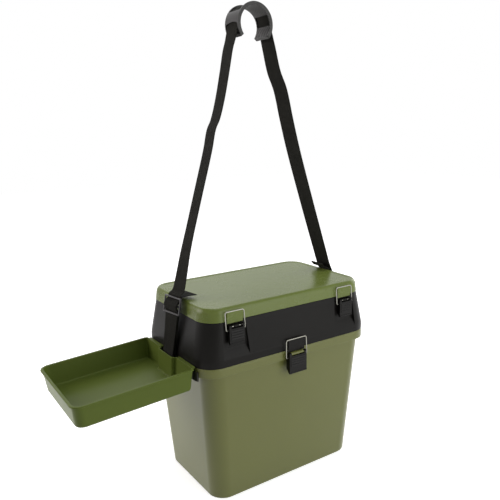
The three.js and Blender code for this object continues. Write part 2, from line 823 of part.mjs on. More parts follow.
// The side tray, in a frame whose origin is the top of its hook. It runs out along -X.
function makeTray() {
  const far = -trayLength;
  const half = trayWidth / 2;
  const tub = (depth, inset) => {
    const share = depth / trayDepth;
    return outline(
      far + trayBead + trayFarDraft * share + inset,
      -trayWallSet - trayNearDraft * share - inset,
      -half + trayBead + traySideDraft * share + inset,
      half - trayBead - traySideDraft * share - inset,
      [trayInnerCorner, trayOuterCorner, trayOuterCorner, trayInnerCorner].map((radius) => radius - inset),
    );
  };
  const notchWall = -trayWallSet - trayNotchDepth;
  const notch = (grow) =>
    loft(
      [-trayDepth - overrun, overrun].map((z) => {
        const back = notchWall - trayNearDraft * (z < 0 ? 1 : 0) - grow;
        const wide = trayNotchHalf + grow;
        const narrow = wide - trayNotchSlant;
        return { z, points: [[overrun, wide], [back, narrow], [back, -narrow], [overrun, -wide]] };
      }),
    );
  const outer = loft([
    { z: -trayDepth, points: tub(trayDepth, trayFloor) },
    { z: -trayDepth + trayFloor, points: tub(trayDepth - trayFloor, 0) },
    { z: 0, points: tub(0, 0) },
  ]);
  const cavity = loft([
    { z: -trayDepth + trayFloor, points: tub(trayDepth - trayFloor, trayWall) },
    { z: overrun, points: tub(-overrun, trayWall) },
  ]).subtract(notch(trayWall));
  const bead = loft(
    [-trayBeadHeight, 0].map((z) => ({
      z,
      points: outline(far, -trayWallSet, -half, half, [
        trayInnerCorner,
        trayOuterCorner + trayBead,
        trayOuterCorner + trayBead,
        trayInnerCorner,
      ]),
    })),
  );
  const flange = block(-trayWallSet - trayWall / 2, 0, -trayFlangeEnd, trayFlangeEnd, -trayFlange, 0);
  let tray = outer.add(bead).add(flange).subtract(notch(0)).subtract(cavity);
  for (const end of [-1, 1]) {
    const ys = [end * trayHookStart, end * trayHookEnd].sort((a, b) => a - b);
    tray = tray.add(block(-trayHookThick, 0, ys[0], ys[1], -trayHookDrop, 0));
  }
  const mesh = piece("side_tray", tray, olive);
  const group = new THREE.Group();
  const reach = gap + railGap + railThick - trayHookOut;
  const hookTop = bucketHeight - railDrop + gap + trayFlange + reach * Math.sin(degrees(traySag));
  group.position.set(-(rimSide + trayHookOut), 0, hookTop);
  group.rotation.y = -degrees(traySag);
  group.add(mesh);
  return group;
}

// The strap's adjusting slider: three round bars between two cheeks, leaning in at its top.
function makeSlider(name, side, y, z) {
  const reach = sliderLength / 2;
  const bars = [-1, 0, 1].map((row) =>
    bar("y", sliderBarRadius, sliderLength - sliderSide, 0, 0, row * sliderBarPitch, pinSides),
  );
  const cheekHigh = sliderBarPitch + sliderBarRadius;
  const cheeks = [-1, 1].map((end) => {
    const ys = [end * reach, end * (reach - sliderSide)].sort((a, b) => a - b);
    return block(-sliderBarRadius, sliderBarRadius, ys[0], ys[1], -cheekHigh, cheekHigh);
  });
  const slider = piece(name, join([...bars, ...cheeks]), black);
  slider.position.set(side * (rimSide + sliderOut), y, z);
  slider.rotation.y = -side * degrees(sliderLean);
  return slider;
}

// A smooth run through points chosen by hand, as [x, z].
function smoothRun(points, steps) {
  const curve = new THREE.CatmullRomCurve3(
    points.map(([x, z]) => new THREE.Vector3(x, 0, z)),
    false,
    "centripetal",
  );
  return curve.getPoints(steps).map((point) => [point.x, point.z]);
}

// A flat strip of webbing along a run in X and Z. Each place of it is moved along Y by a lean.
function webbingStrip(name, run, lean) {
  const near = [];
  const back = [];
  run.forEach(([x, z], index) => {
    const [x0, z0] = run[Math.max(index - 1, 0)];
    const [x1, z1] = run[Math.min(index + 1, run.length - 1)];
    const length = Math.hypot(x1 - x0, z1 - z0);
    const [acrossX, acrossZ] = [-(z1 - z0), x1 - x0].map((v) => (v / length) * (webbingThick / 2));
    near.push([x + acrossX, z + acrossZ]);
    back.unshift([x - acrossX, z - acrossZ]);
  });
  const geometry = alongYGeometry([...near, ...back], -webbingWidth / 2, webbingWidth / 2);
  const place = geometry.getAttribute("position");
  for (let i = 0; i < place.count; i++) {
    place.setY(i, place.getY(i) + lean(place.getX(i), place.getZ(i)));
  }
  return piece(name, solidOf(geometry), webbing);
}

// How far the two layers of webbing lie from a slider's bars. The first layer carries the free tail
// and passes close outside the middle bar. The second carries the leg, close inside the outer bars.
const layerNear = sliderBarRadius + webbingPlay + webbingThick / 2;
const layerFar = layerNear + webbingThick + layerPlay;
const layerEnd = sliderBarPitch + sliderBarRadius;

// A place in a leaning slider's middle plane, as [x, z].
function sliderPoint(side, height, out, up) {
  const lean = degrees(sliderLean);
  const x = rimSide + sliderOut + out * Math.cos(lean) - up * Math.sin(lean);
  return [side * x, height + out * Math.sin(lean) + up * Math.cos(lean)];
}

// Places given from a slider's middle, or from the grip's, as [x, z].
function fromSlider(side, height, places) {
  return places.map(([inwards, up]) => [side * (rimSide + sliderOut - inwards), height + up]);
}

function fromGrip(side, places) {
  return places.map(([out, down]) => [gripAcross + side * out, gripHeight - down]);
}

// A layer's way through a slider: inside the outer bars by one distance and outside the middle bar
// by another, in a smooth wave.
function weave(side, height, inside, outside, up) {
  return Array.from({ length: weaveSteps + 1 }, (_, step) => {
    const rise = ramp(-up, up, step / weaveSteps);
    const wave = Math.cos((Math.PI * Math.min(Math.abs(rise), sliderBarPitch)) / sliderBarPitch);
    return sliderPoint(side, height, ramp(-inside, outside, (1 + wave) / 2), rise);
  });
}

// The webbing below the grip's legs: the free tail, the way down through the slider, the loop round
// the bracket's bar, and the way back up through the slider.
function makeAnchorLoop(name, side, sliderHeight, forward, tail) {
  const barOut = rimSide + gap + strapBarStandoff;
  const barHeight = bucketHeight - strapBarDrop;
  const turn = strapBarRadius + webbingPlay + webbingThick / 2;
  const round = Array.from({ length: turnSteps + 1 }, (_, step) => {
    const angle = degrees(ramp(-180, 0, step / turnSteps));
    return [side * (barOut + turn * Math.cos(angle)), barHeight + turn * Math.sin(angle)];
  });
  const run = [
    ...smoothRun(fromSlider(side, sliderHeight, tail), 2 * tail.length),
    ...weave(side, sliderHeight, layerFar, layerNear, layerEnd).reverse(),
    ...round,
    ...weave(side, sliderHeight, layerNear, layerFar, layerEnd),
  ];
  const lean = (x, z) => forward * Math.min(Math.max((z - barHeight) / (sliderHeight - barHeight), 0), 1);
  return webbingStrip(name, run, lean);
}

// A leg's route from its slider up to the grip, through low and high places on its middle line.
function makeLeg(name, side, sliderHeight, low, high, forward) {
  const start = sliderPoint(side, sliderHeight, -layerNear, layerEnd + gap);
  const [across, up] = gripArc(gripSeat, side * webbingTurn, side * webbingTurn, 1)[0];
  const end = [gripAcross + across, gripHeight + up - gap];
  const places = [...fromSlider(side, sliderHeight, low), ...fromGrip(side, high)];
  const run = smoothRun([start, ...places, end], 4 * places.length);
  const lean = (x, z) => ramp(forward, gripBack, (z - start[1]) / (end[1] - start[1]));
  return webbingStrip(name, run, lean);
}

// Places on the legs' and the tails' middle lines. The low ones are [in, up] from the slider's
// middle, and the high ones are [out, down] from the grip's middle.
const leftLow = [
  [6.6, 18],
  [9.8, 20.6],
  [14.6, 23.5],
  [21.7, 42.2],
];
const leftHigh = [
  [156.4, 402.2],
  [128.5, 312.7],
  [100.4, 223.4],
  [91, 187.7],
  [81.7, 169.9],
  [69.9, 134.2],
  [56.5, 80.9],
  [48.3, 45.5],
  [42.1, 27.7],
];
const rightLow = [
  [7.4, 19.9],
  [10.9, 25.1],
  [13.8, 29.9],
  [23, 48.8],
  [32.9, 77.2],
];
const rightHigh = [
  [139, 336.2],
  [104.2, 230.9],
  [87, 171.1],
  [71.5, 113.4],
  [56.6, 81],
  [45.5, 40.1],
  [40.8, 22.7],
];
const leftTail = [
  [42.8, 13.9],
  [30.8, 15.3],
  [18.8, 16],
  [12.8, 16.2],
  [9.6, 15.9],
];
const rightTail = [
  [37.8, 47.5],
  [28.8, 44.1],
  [21.2, 37.7],
  [17.2, 31.5],
  [14.8, 25],
  [12, 19.5],
  [9.4, 16.7],
];

// Points on an arc about the grip's middle, by angle from straight up, towards -X first.
function gripArc(radius, from, to, steps) {
  return Array.from({ length: steps + 1 }, (_, step) => {
    const angle = degrees(ramp(from, to, step / steps));
    return [radius * Math.sin(angle), radius * Math.cos(angle)];
  });
}

function sector(inner, outer, from, to, y0, y1, steps) {
  return alongY([...gripArc(outer, from, to, steps), ...gripArc(inner, to, from, steps)], y0, y1);
}

// The grip: a C of plastic with a channel for the webbing over its back, and on each side a bridge
// that holds the webbing down, with a window under it.
function makeGrip() {
  const half = gripLength / 2;
  const open = 180 - gripMouth;
  const channelHalf = webbingWidth / 2 + channelPlay;
  let grip = sector(gripBore, gripRadius, -open, open, -half, half, arcSteps);
  const channelEnd = open - gripEnd;
  grip = grip.subtract(
    sector(gripChannel, gripRadius + overrun, -channelEnd, channelEnd, -channelHalf, channelHalf, arcSteps),
  );
  for (const side of [-1, 1]) {
    const arch = new THREE.CylinderGeometry(channelHalf, channelHalf, gripRadius, roundSides);
    arch.rotateZ(Math.PI / 2);
    arch.scale(1, 1, bridgeArch / channelHalf);
    const [archX, archZ] = gripArc(gripRadius, side * bridgeLow, side * bridgeLow, 1)[0];
    arch.translate(archX, 0, archZ);
    const bridge = sector(
      gripUnderBridge,
      gripRadius,
      side * bridgeHigh,
      side * bridgeLow,
      -half,
      half,
      bridgeSteps,
    ).subtract(solidOf(arch));
    const window = sector(
      gripBore - overrun,
      gripUnderBridge,
      side * windowHigh,
      side * windowLow,
      -channelHalf,
      channelHalf,
      bridgeSteps,
    );
    grip = grip.subtract(window).add(bridge);
  }
  const mesh = piece("shoulder_grip", grip, gripPlastic);
  mesh.position.set(gripAcross, gripBack, gripHeight);
  return mesh;
}

function makeTopWebbing() {
  const strip = webbingStrip(
    "strap_webbing_top",
    gripArc(gripSeat, -webbingTurn, webbingTurn, arcSteps),
    () => 0,
  );
  strip.position.set(gripAcross, gripBack, gripHeight);
  return strip;
}

const seatBox = new THREE.Group();
seatBox.add(makeBucket(), makeCase(), makeLid());

for (const [side, label] of [[-1, "left"], [1, "right"]]) {
  const hingeX = (side * hingeSpacing) / 2;
  seatBox.add(hingePin(`case_hinge_pin_${label}`, hingeX, caseHingeBack, caseHingeHeight));
  seatBox.add(hingePin(`lid_hinge_pin_${label}`, hingeX, lidHingeBack, lidHingeHeight));
  seatBox.add(
    makeLatch(label, (side * latchSpacing) / 2, lidPivotFront, lidPivotHeight, {
      width: lidLeverWidth,
      drop: lidLeverDrop,
      lugHalf: lidLugHalf,
      reach: lidPivotStandoff,
      bailWidth: lidBailWidth,
      bailRise: lidBailRise,
    }),
  );
  seatBox.add(makeBracket(`side_bracket_${label}`, side), makeStrapBar(`strap_bar_${label}`, side));
  rivetPlaces.forEach((y, index) => {
    seatBox.add(makeRivet(`bracket_rivet_${label}_${index + 1}`, side, y));
  });
}

seatBox.add(
  makeLatch("centre", 0, bucketPivotFront, bucketPivotHeight, {
    width: bucketLeverWidth,
    drop: bucketLeverDrop,
    lugHalf: bucketLugHalf,
    reach: bucketPivotStandoff,
    bailWidth: bucketBailWidth,
    bailRise: bucketBailRise,
  }),
);

seatBox.add(makeTray());
seatBox.add(makeSlider("strap_slider_left", -1, -leftSliderForward, leftSliderHeight));
seatBox.add(makeSlider("strap_slider_right", 1, rightSliderBack, rightSliderHeight));
seatBox.add(makeAnchorLoop("strap_loop_left", -1, leftSliderHeight, -leftSliderForward, leftTail));
seatBox.add(makeAnchorLoop("strap_loop_right", 1, rightSliderHeight, rightSliderBack, rightTail));
seatBox.add(makeLeg("strap_leg_left", -1, leftSliderHeight, leftLow, leftHigh, -leftSliderForward));
seatBox.add(makeLeg("strap_leg_right", 1, rightSliderHeight, rightLow, rightHigh, rightSliderBack));
seatBox.add(makeTopWebbing(), makeGrip());

export default seatBox;
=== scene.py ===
import math
from typing import NamedTuple

import bmesh
import bpy
from bpy.props import FloatProperty, FloatVectorProperty, IntProperty, PointerProperty
from mathutils import Matrix, Vector
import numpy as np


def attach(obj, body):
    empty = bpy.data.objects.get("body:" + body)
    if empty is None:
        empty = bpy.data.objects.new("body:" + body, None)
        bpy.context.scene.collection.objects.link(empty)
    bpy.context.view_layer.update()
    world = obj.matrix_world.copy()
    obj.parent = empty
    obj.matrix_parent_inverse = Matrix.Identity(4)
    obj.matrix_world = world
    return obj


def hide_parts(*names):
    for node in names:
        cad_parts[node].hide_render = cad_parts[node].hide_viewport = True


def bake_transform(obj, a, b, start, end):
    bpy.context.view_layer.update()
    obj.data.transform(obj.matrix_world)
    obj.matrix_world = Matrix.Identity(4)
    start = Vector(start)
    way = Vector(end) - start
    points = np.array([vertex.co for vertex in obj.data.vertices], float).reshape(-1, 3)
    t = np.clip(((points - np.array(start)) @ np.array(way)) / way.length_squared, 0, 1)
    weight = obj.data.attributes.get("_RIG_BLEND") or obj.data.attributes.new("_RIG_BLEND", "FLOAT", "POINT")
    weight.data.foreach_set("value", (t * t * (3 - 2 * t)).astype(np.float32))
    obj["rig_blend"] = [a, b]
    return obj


bl_info = {
    "name": "Fishing Seat Box",
    "version": (1, 0, 0),
    "blender": (4, 5, 0),
    "location": "View3D > Sidebar > Seat Box",
    "description": "A seat box with a tackle case, draw latches, a side tray and a carrying strap",
    "category": "Add Mesh",
}

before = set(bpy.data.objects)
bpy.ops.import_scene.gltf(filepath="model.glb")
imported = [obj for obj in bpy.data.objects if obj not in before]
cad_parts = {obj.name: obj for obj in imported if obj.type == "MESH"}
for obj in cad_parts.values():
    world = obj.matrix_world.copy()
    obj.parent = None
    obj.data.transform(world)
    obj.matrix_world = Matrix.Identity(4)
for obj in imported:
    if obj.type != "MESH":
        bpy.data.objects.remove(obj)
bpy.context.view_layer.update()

METRE = 1000  # millimetres
DEPTHWAYS = Vector((0, 1, 0))
SIDES = {"left": -1, "right": 1}

# Measures of the solid model that the pieces are drawn from, in millimetres
# A ring is (half length, half depth, radius of the corners).
BUCKET_TOP = 275.9
NECK = 258.7  # where the bucket's wall meets its rim
BASE = (166.48, 100.52, 33)
NECK_RING = (186.4, 117.75, 36)
RIM = (197.5, 123, 40)
RIM_SKIRT = 2.6
RIM_FLANGE = 2.8
CASE_FOOT = 276.2
CASE_STRAIGHT = 288.6  # up to here the case is as wide as the rim
CASE_TOP = 356.8
CASE_TOP_RING = (185.95, 115.4, 38)
CASE_FLOOR = 2.6
DIVIDERS = (-98.75, 0, 98.75)
KEEPER = (-18, 18, -127.4, -121.5, 276.8, 296.8)  # the corners of blocks, as add_block takes them
# The case's black tongue over the rim is drawn wider than the keeper, so that its black beside the keeper
# also stands in for a shadow: partly a painted shadow.
TONGUE_AND_SHADOW = (-20.4, 20.4, -127.3, -123.7, 273.2, 279)
LID_FOOT = 357.1
LID_TOP = 381.6
LID_RING = (186.55, 116, 38)
LID_LEAN = 3.2  # how far the lid's wall leans in by its top
LID_ROUND = 11
PANEL_SET = 14.6
PANEL_DEPTH = 0.7

# Hinges and latches. An axis or pivot is (y, z).
HINGE_X = 110
KNUCKLE = 14
KNUCKLE_PITCH = 14.5
KNUCKLE_RADIUS = 4.5
HINGE_PIN = 1.6  # radius
LATCH_PIN = 1.1
CASE_HINGE = (128.2, 276.05)
LID_HINGE = (121.2, 356.95)
LID_LATCH_X = 129
LID_PIVOT = (-121.2, 348.5)
BUCKET_PIVOT = (-130.4, 270.2)
POCKET_BACK = -114.6
POCKET_HALF = 22.5
POCKET_FLARE = 5.5  # how much wider a recess is at its foot, on each side
BOSS_HALF = 25.3
LEVER_FLANGE = 2.4
LEVER_RIBS = 4
LEVER_RIB_PITCH = 4.7
BAIL_EYE = (1.5, -7)  # where a bail turns in its lever, from the lever's pivot
BAIL_BACK = 0.8

# Brackets and side tray
FIT = 0.3  # the gap between parts that lie on each other
STRIP = 2.2
STRIP_FOOT = 252.0
STRIP_TOP = 269.7
STRIP_END = 98
RAIL_GAP = 3.1
RAIL = 1.8
RAIL_TOP = 275.8
RAIL_SPAN = (33, 82)
EAR = 3.6  # radius
EAR_SPAN = (23, 26.5)
RIVETS_Y = (-76, -46, 46, 76)
RIVET_Z = 263
TRAY_DEPTH = 42
TRAY_LENGTH = 221.6
TRAY_NEAR = -4.9
TRAY_HALF = 101.25
TRAY_WALL = 2.2
TRAY_BEAD = 2.8
TRAY_HOOK = 2.5
TRAY_SAG = math.radians(3.04)
NOTCH_MOUTH = 31
NOTCH_BACK = 27
NOTCH_DEPTH = 7
NOTCH_BEND = 3.8

# Strap. NEAR and FAR are how far the webbing's two layers run from a slider's bars.
BAR_X = 204
BAR_Z = 268
BAR_RADIUS = 1.7
SLIDER_X = 202.8
SLIDER_LEAN = math.radians(11)
LEFT_SLIDER = (-14, 373)  # y and z of its middle
RIGHT_SLIDER = (4, 346.5)
SLIDER_HALF = 25
SLIDER_END = 16
SLIDER_ROW = 14.5
SLIDER_BAR = 1.5
NEAR = 2.65
FAR = 5.15
LOOP_CLEAR = 0.35
STRETCH_GAP = 0.3  # between two stretches of the webbing
WEAVE_STEPS = 9
TOP_STEPS = 24
TURN_FROM = 8  # how far above the bar a loop begins to turn with its slider
TURN_TO = 22  # how far under the slider's middle it has turned as far
UNTURN = 130  # how far above its slider a leg stands square again
SWING_CLEAR = 5  # how far above the lid a leg's bend begins
SWING_BEND = 0.036  # metres
GRIP = Vector((-8.4, 1, 874.1))
GRIP_BORE = 32.4
GRIP_CHANNEL = 34.3
GRIP_SEAT = 35.45
GRIP_UNDER = 36.6
GRIP_OUTER = 38.7
GRIP_KNURL = 5.4
GRIP_HALF = 22
GRIP_END = 128  # degrees from straight up, as the next ones
GRIP_CHANNEL_END = 120
GRIP_WINDOW = (57, 91)
GRIP_BRIDGE = (54, 95)
GRIP_TOP_END = 92
GRIP_CHANNEL_HALF = 19.6
GRIP_ARCH = (20.2, 6)  # half width and depth


# Sizes and colours that a user may change


class SeatBoxSizes(bpy.types.PropertyGroup):
    wall: FloatProperty(
        name="Wall", description="Thickness of the moulded walls", default=0.003, min=0.001, unit="LENGTH"
    )
    corner_steps: IntProperty(
        name="Corner steps", description="Faces round each upright corner", default=12, min=4, max=32
    )
    wire: FloatProperty(
        name="Wire radius", description="Radius of the bails' wire", default=0.00095, min=0.0005,
        unit="LENGTH",
    )


class SeatBoxStrap(bpy.types.PropertyGroup):
    width: FloatProperty(
        name="Webbing width", description="Width of the webbing", default=0.038, min=0.02, unit="LENGTH"
    )
    thickness: FloatProperty(
        name="Webbing thickness", description="Thickness of the webbing", default=0.0016, min=0.001,
        unit="LENGTH",
    )
    left_twist: FloatProperty(
        name="Left twist", description="Turn of the left leg about its own length",
        default=math.radians(-5), subtype="ANGLE",
    )
    right_twist: FloatProperty(
        name="Right twist", description="Turn of the right leg about its own length",
        default=math.radians(7.5), subtype="ANGLE",
    )
    columns: IntProperty(
        name="Weave columns", description="Columns of the herringbone weave across the webbing",
        default=10, min=2,
    )
    slider_turn: FloatProperty(
        name="Slider's turn", description="Turn of the left slider about its rear end",
        default=math.radians(9), subtype="ANGLE",
    )


class SeatBoxColours(bpy.types.PropertyGroup):
    olive: FloatVectorProperty(
        name="Olive", description="Lid plastic", default=(0.138, 0.177, 0.038), subtype="COLOR",
        min=0, max=1,
    )
    tray: FloatVectorProperty(
        name="Tray olive", description="Side tray plastic", default=(0.102, 0.137, 0.025), subtype="COLOR",
        min=0, max=1,
    )
    bucket: FloatVectorProperty(
        name="Bucket olive", description="Bucket plastic, a little browner", default=(0.140, 0.151, 0.038),
        subtype="COLOR", min=0, max=1,
    )
    black: FloatVectorProperty(
        name="Black", description="Tackle case plastic", default=(0.0072, 0.0066, 0.0056), subtype="COLOR",
        min=0, max=1,
    )
    steel: FloatVectorProperty(
        name="Steel", description="Wire, pins and rivets", default=(0.30, 0.295, 0.255), subtype="COLOR",
        min=0, max=1,
    )
    webbing: FloatVectorProperty(
        name="Webbing", description="Strap webbing", default=(0.0165, 0.0164, 0.0138), subtype="COLOR",
        min=0, max=1,
    )
    grip: FloatVectorProperty(
        name="Grip", description="Shoulder grip plastic", default=(0.084, 0.083, 0.080), subtype="COLOR",
        min=0, max=1,
    )


class SeatBoxStudio(bpy.types.PropertyGroup):
    camera_place: FloatVectorProperty(
        name="Camera place", description="Where the camera stands", default=(-0.6424, -0.9387, 0.6881),
        subtype="TRANSLATION",
    )
    aim: FloatVectorProperty(
        name="Aim", description="The point the camera looks at", default=(-0.00168, 0.0215, 0.4438),
        subtype="TRANSLATION",
    )
    roll: FloatProperty(
        name="Roll", description="Turn of the camera about its line of sight", default=math.radians(-1.066),
        subtype="ANGLE",
    )
    lens: FloatProperty(name="Lens", description="Focal length in millimetres", default=41.55, min=10)
    above: FloatProperty(
        name="Light above", description="Power of the soft lights above", default=10, min=0
    )
    front: FloatProperty(
        name="Front light", description="Power of the soft light in front", default=27, min=0
    )
    right: FloatProperty(
        name="Right light", description="Power of the soft light at the right", default=15, min=0
    )
    left: FloatProperty(
        name="Left light", description="Power of the soft light at the back left", default=22, min=0
    )
    ambient: FloatProperty(name="Ambient", description="Light from all round", default=0.04, min=0)


# Materials


class Value:
    """A socket of a material, on which shader maths is written as Python expressions."""

    def __init__(self, tree, socket):
        self.tree = tree
        self.socket = socket

    def _math(self, operation, *values):
        node = self.tree.nodes.new("ShaderNodeMath")
        node.operation = operation
        for slot, value in zip(node.inputs, values):
            if isinstance(value, Value):
                self.tree.links.new(value.socket, slot)
            else:
                slot.default_value = value
        return Value(self.tree, node.outputs[0])

    def __add__(self, other):
        return self._math("ADD", self, other)

    __radd__ = __add__

    def __sub__(self, other):
        return self._math("SUBTRACT", self, other)

    def __rsub__(self, other):
        return self._math("SUBTRACT", other, self)

    def __mul__(self, other):
        return self._math("MULTIPLY", self, other)

    __rmul__ = __mul__

    def __truediv__(self, other):
        return self._math("DIVIDE", self, other)

    def root(self):
        return self._math("SQRT", self)

    def turn_from(self, other):
        """The angle of the point (other, self) round the middle."""
        return self._math("ARCTAN2", self, other)

    def wave(self):
        """A smooth wave between 0 and 1 that repeats with each whole number."""
        return self._math("SINE", self * (2 * math.pi)) * 0.5 + 0.5

    def fold(self):
        """A zigzag between 0 and 1 that repeats with each whole number."""
        return self._math("ABSOLUTE", self._math("FRACT", self) * 2 - 1)

    def above(self, edge, soft):
        """0 under the edge and 1 over it, with a soft step."""
        return self._math("MINIMUM", self._math("MAXIMUM", (self - edge) / soft + 0.5, 0), 1)


class Nodes:
    """A node tree that is emptied and built up again."""

    def __init__(self, tree):
        self.tree = tree
        self.tree.nodes.clear()

    def node(self, kind, settings=None, sockets=(), **inputs):
        """Adds a node. Its settings come first, then its sockets by place, and then its inputs by name."""
        node = self.tree.nodes.new(kind)
        for name, value in (settings or {}).items():
            setattr(node, name, value)
        for slot, value in zip(node.inputs, sockets):
            self.feed(slot, value)
        for name, value in inputs.items():
            self.feed(self.slot(node, name.replace("_", " ")), value)
        return node

    def slot(self, node, name):
        return next(slot for slot in node.inputs if slot.name == name and slot.enabled)

    def feed(self, slot, value):
        if isinstance(value, Value):
            value = value.socket
        if isinstance(value, bpy.types.NodeSocket):
            self.tree.links.new(value, slot)
        else:
            slot.default_value = value

    def value(self, socket):
        return Value(self.tree, socket)


class Finish(Nodes):
    """One material, with the nodes that feed its surface."""

    def __init__(self, name):
        self.material = bpy.data.materials.new(name)
        self.material.use_nodes = True
        super().__init__(self.material.node_tree)
        self.surface = self.node("ShaderNodeBsdfPrincipled")
        self.node("ShaderNodeOutputMaterial", Surface=self.surface.outputs[0])
        self.place = self.node("ShaderNodeTexCoord").outputs["Object"]

    def noise(self, scale, detail=3):
        node = self.node(
            "ShaderNodeTexNoise", Vector=self.place, Scale=scale, Detail=detail, Roughness=0.55
        )
        return self.value(node.outputs["Fac"])

    def blend(self, factor, low, high):
        """A colour between two colours."""
        node = self.node("ShaderNodeMix", {"data_type": "RGBA"}, Factor=factor, A=low, B=high)
        return node.outputs[2]

    def set(self, name, value):
        self.feed(self.slot(self.surface, name), value)

    def bump(self, height, depth, below=None):
        """A bump of a depth in metres, over another bump or none."""
        node = self.node("ShaderNodeBump", Height=height, Distance=depth, Strength=1.0)
        if below is not None:
            self.feed(self.slot(node, "Normal"), below)
        return node.outputs[0]


def shade(colour, factor):
    return [min(channel * factor, 1) for channel in colour[:3]] + [1]


def moulded_plastic(name, colour, roughness, shine, mottle):
    """Moulded plastic: a mottle, a fine grain and the slow waviness of a moulded wall."""
    finish = Finish(name)
    cloud = finish.noise(14, 4)
    fleck = finish.noise(420, 2)
    mix = cloud * 0.7 + fleck * 0.3
    finish.set("Base Color", finish.blend(mix, shade(colour, 1 - mottle), shade(colour, 1 + mottle)))
    finish.set("Roughness", cloud * 0.08 + fleck * 0.05 + (roughness - 0.065))
    finish.set("IOR", 1.47)
    finish.set("Specular IOR Level", shine)
    slow = finish.bump(finish.noise(7, 1), 0.0005)
    finish.set("Normal", finish.bump(finish.noise(900, 2), 0.00003, slow))
    return finish.material


def bright_steel(name, colour):
    """Drawn steel with fine marks, bright on its high spots."""
    finish = Finish(name)
    marks = finish.noise(700, 3)
    cloud = finish.noise(60, 2)
    finish.set("Base Color", finish.blend(cloud, shade(colour, 0.82), shade(colour, 1.08)))
    finish.set("Metallic", 1.0)
    finish.set("Roughness", marks * 0.14 + 0.24)
    finish.set("Normal", finish.bump(marks, 0.00003))
    return finish.material


def coated_steel(name, colour):
    """Steel strip with a black powder coat, which has a fine orange-peel surface."""
    finish = Finish(name)
    cloud = finish.noise(45, 3)
    finish.set("Base Color", finish.blend(cloud, shade(colour, 0.85), shade(colour, 1.2)))
    finish.set("Roughness", cloud * 0.12 + 0.34)
    finish.set("Normal", finish.bump(finish.noise(520, 2), 0.00012))
    return finish.material


def herringbone_webbing(name, colour, columns, thickness):
    """Woven webbing. Its UV runs along the strip and across it, in widths of the webbing."""
    finish = Finish(name)
    spot = finish.node("ShaderNodeSeparateXYZ", Vector=finish.node("ShaderNodeUVMap").outputs["UV"])
    along = finish.value(spot.outputs[0])
    across = finish.value(spot.outputs[1])
    rows = columns * 2.2
    ply = (along * rows + (across * (columns / 2)).fold() * 2.2).wave()
    thread = (across * columns * 6).wave()
    gap = (across * columns).fold().above(0.9, 0.16)
    weave = ply * 0.65 + thread * 0.25 - gap * 0.35
    cloud = finish.noise(30, 3)
    # The colour follows the weave. Its plies and threads are painted lighter and the gaps between its columns
    # darker: painted light and shade of the woven relief, which the bump also draws. The cloud is a random
    # tone.
    tone = weave * 0.75 + cloud * 0.5
    finish.set("Base Color", finish.blend(tone, shade(colour, 0.4), shade(colour, 2.1)))
    finish.set("Roughness", 0.86 - weave * 0.18)
    finish.set("Specular IOR Level", 0.03)
    finish.set("Sheen Weight", 0.02)
    finish.set("Sheen Roughness", 0.4)
    finish.set("Normal", finish.bump(weave + finish.noise(1500, 2) * 0.3, thickness * 0.22))
    return finish.material


def grip_plastic(name, colour):
    """Hard grip plastic: smooth outside, and knurled in crossing lines in the bore."""
    finish = Finish(name)
    spot = finish.node("ShaderNodeSeparateXYZ", Vector=finish.place)
    x = finish.value(spot.outputs[0]) - GRIP.x / METRE
    z = finish.value(spot.outputs[2]) - GRIP.z / METRE
    inside = 1 - (x * x + z * z).root().above(GRIP_BORE / METRE + 0.0004, 0.0004)
    round_bore = x.turn_from(z) * (GRIP_BORE / GRIP_KNURL)
    along_bore = finish.value(spot.outputs[1]) * (METRE / GRIP_KNURL)
    pebble = ((round_bore + along_bore).wave() * 0.75 + (round_bore - along_bore).wave() * 0.25) * inside
    cloud = finish.noise(40, 3)
    # The knurl is painted into the colour as well, lighter on its ridges and darker in its grooves: painted
    # shade of the knurl, over its bump. The cloud is a random tone.
    tone = cloud * 0.4 + pebble * 1.6 - inside * 0.65 + 0.04
    finish.set("Base Color", finish.blend(tone, shade(colour, 0.35), shade(colour, 1.9)))
    finish.set("Roughness", cloud * 0.1 + inside * 0.12 + 0.38)
    finish.set("Specular IOR Level", 0.12)
    fine = finish.bump(finish.noise(800, 2), 0.00004)
    finish.set("Normal", finish.bump(pebble, 0.0007, fine))
    return finish.material


MATERIALS = {}
PLASTICS = {
    # finish: (material, colour, factor on it, roughness, shine, mottle)
    "lid": ("olive_plastic", "olive", 1, 0.27, 0.235, 0.06),
    "tray": ("olive_tray_plastic", "tray", 1, 0.36, 0.1, 0.06),
    "bucket": ("olive_bucket_plastic", "bucket", 1, 0.34, 0.36, 0.06),
    "case": ("black_plastic", "black", 1, 0.38, 0.1, 0.3),
    "lever": ("lever_plastic", "black", 0.85, 0.34, 0.13, 0.2),
    # The slider's black is lifted 1.7 times, partly as a painted highlight for the light that catches its
    # frame's edges.
    "slider": ("slider_plastic", "black", 1.7, 0.36, 0.42, 0.2),
}


def make_materials(scene):
    """Makes every finish, from the colours and the webbing's measures in the panel."""
    colours = scene.seat_box_colours
    strap = scene.seat_box_strap
    for finish, (name, colour, factor, *look) in PLASTICS.items():
        MATERIALS[finish] = moulded_plastic(name, shade(getattr(colours, colour), factor), *look)
    MATERIALS["steel"] = bright_steel("steel", colours.steel)
    MATERIALS["bracket"] = coated_steel("bracket_paint", shade(colours.black, 1.2))
    MATERIALS["webbing"] = herringbone_webbing("webbing", colours.webbing, strap.columns, strap.thickness)
    MATERIALS["grip"] = grip_plastic("grip_plastic", colours.grip)


# Shapes. Every bmesh is drawn in millimetres, and put() brings it to metres.


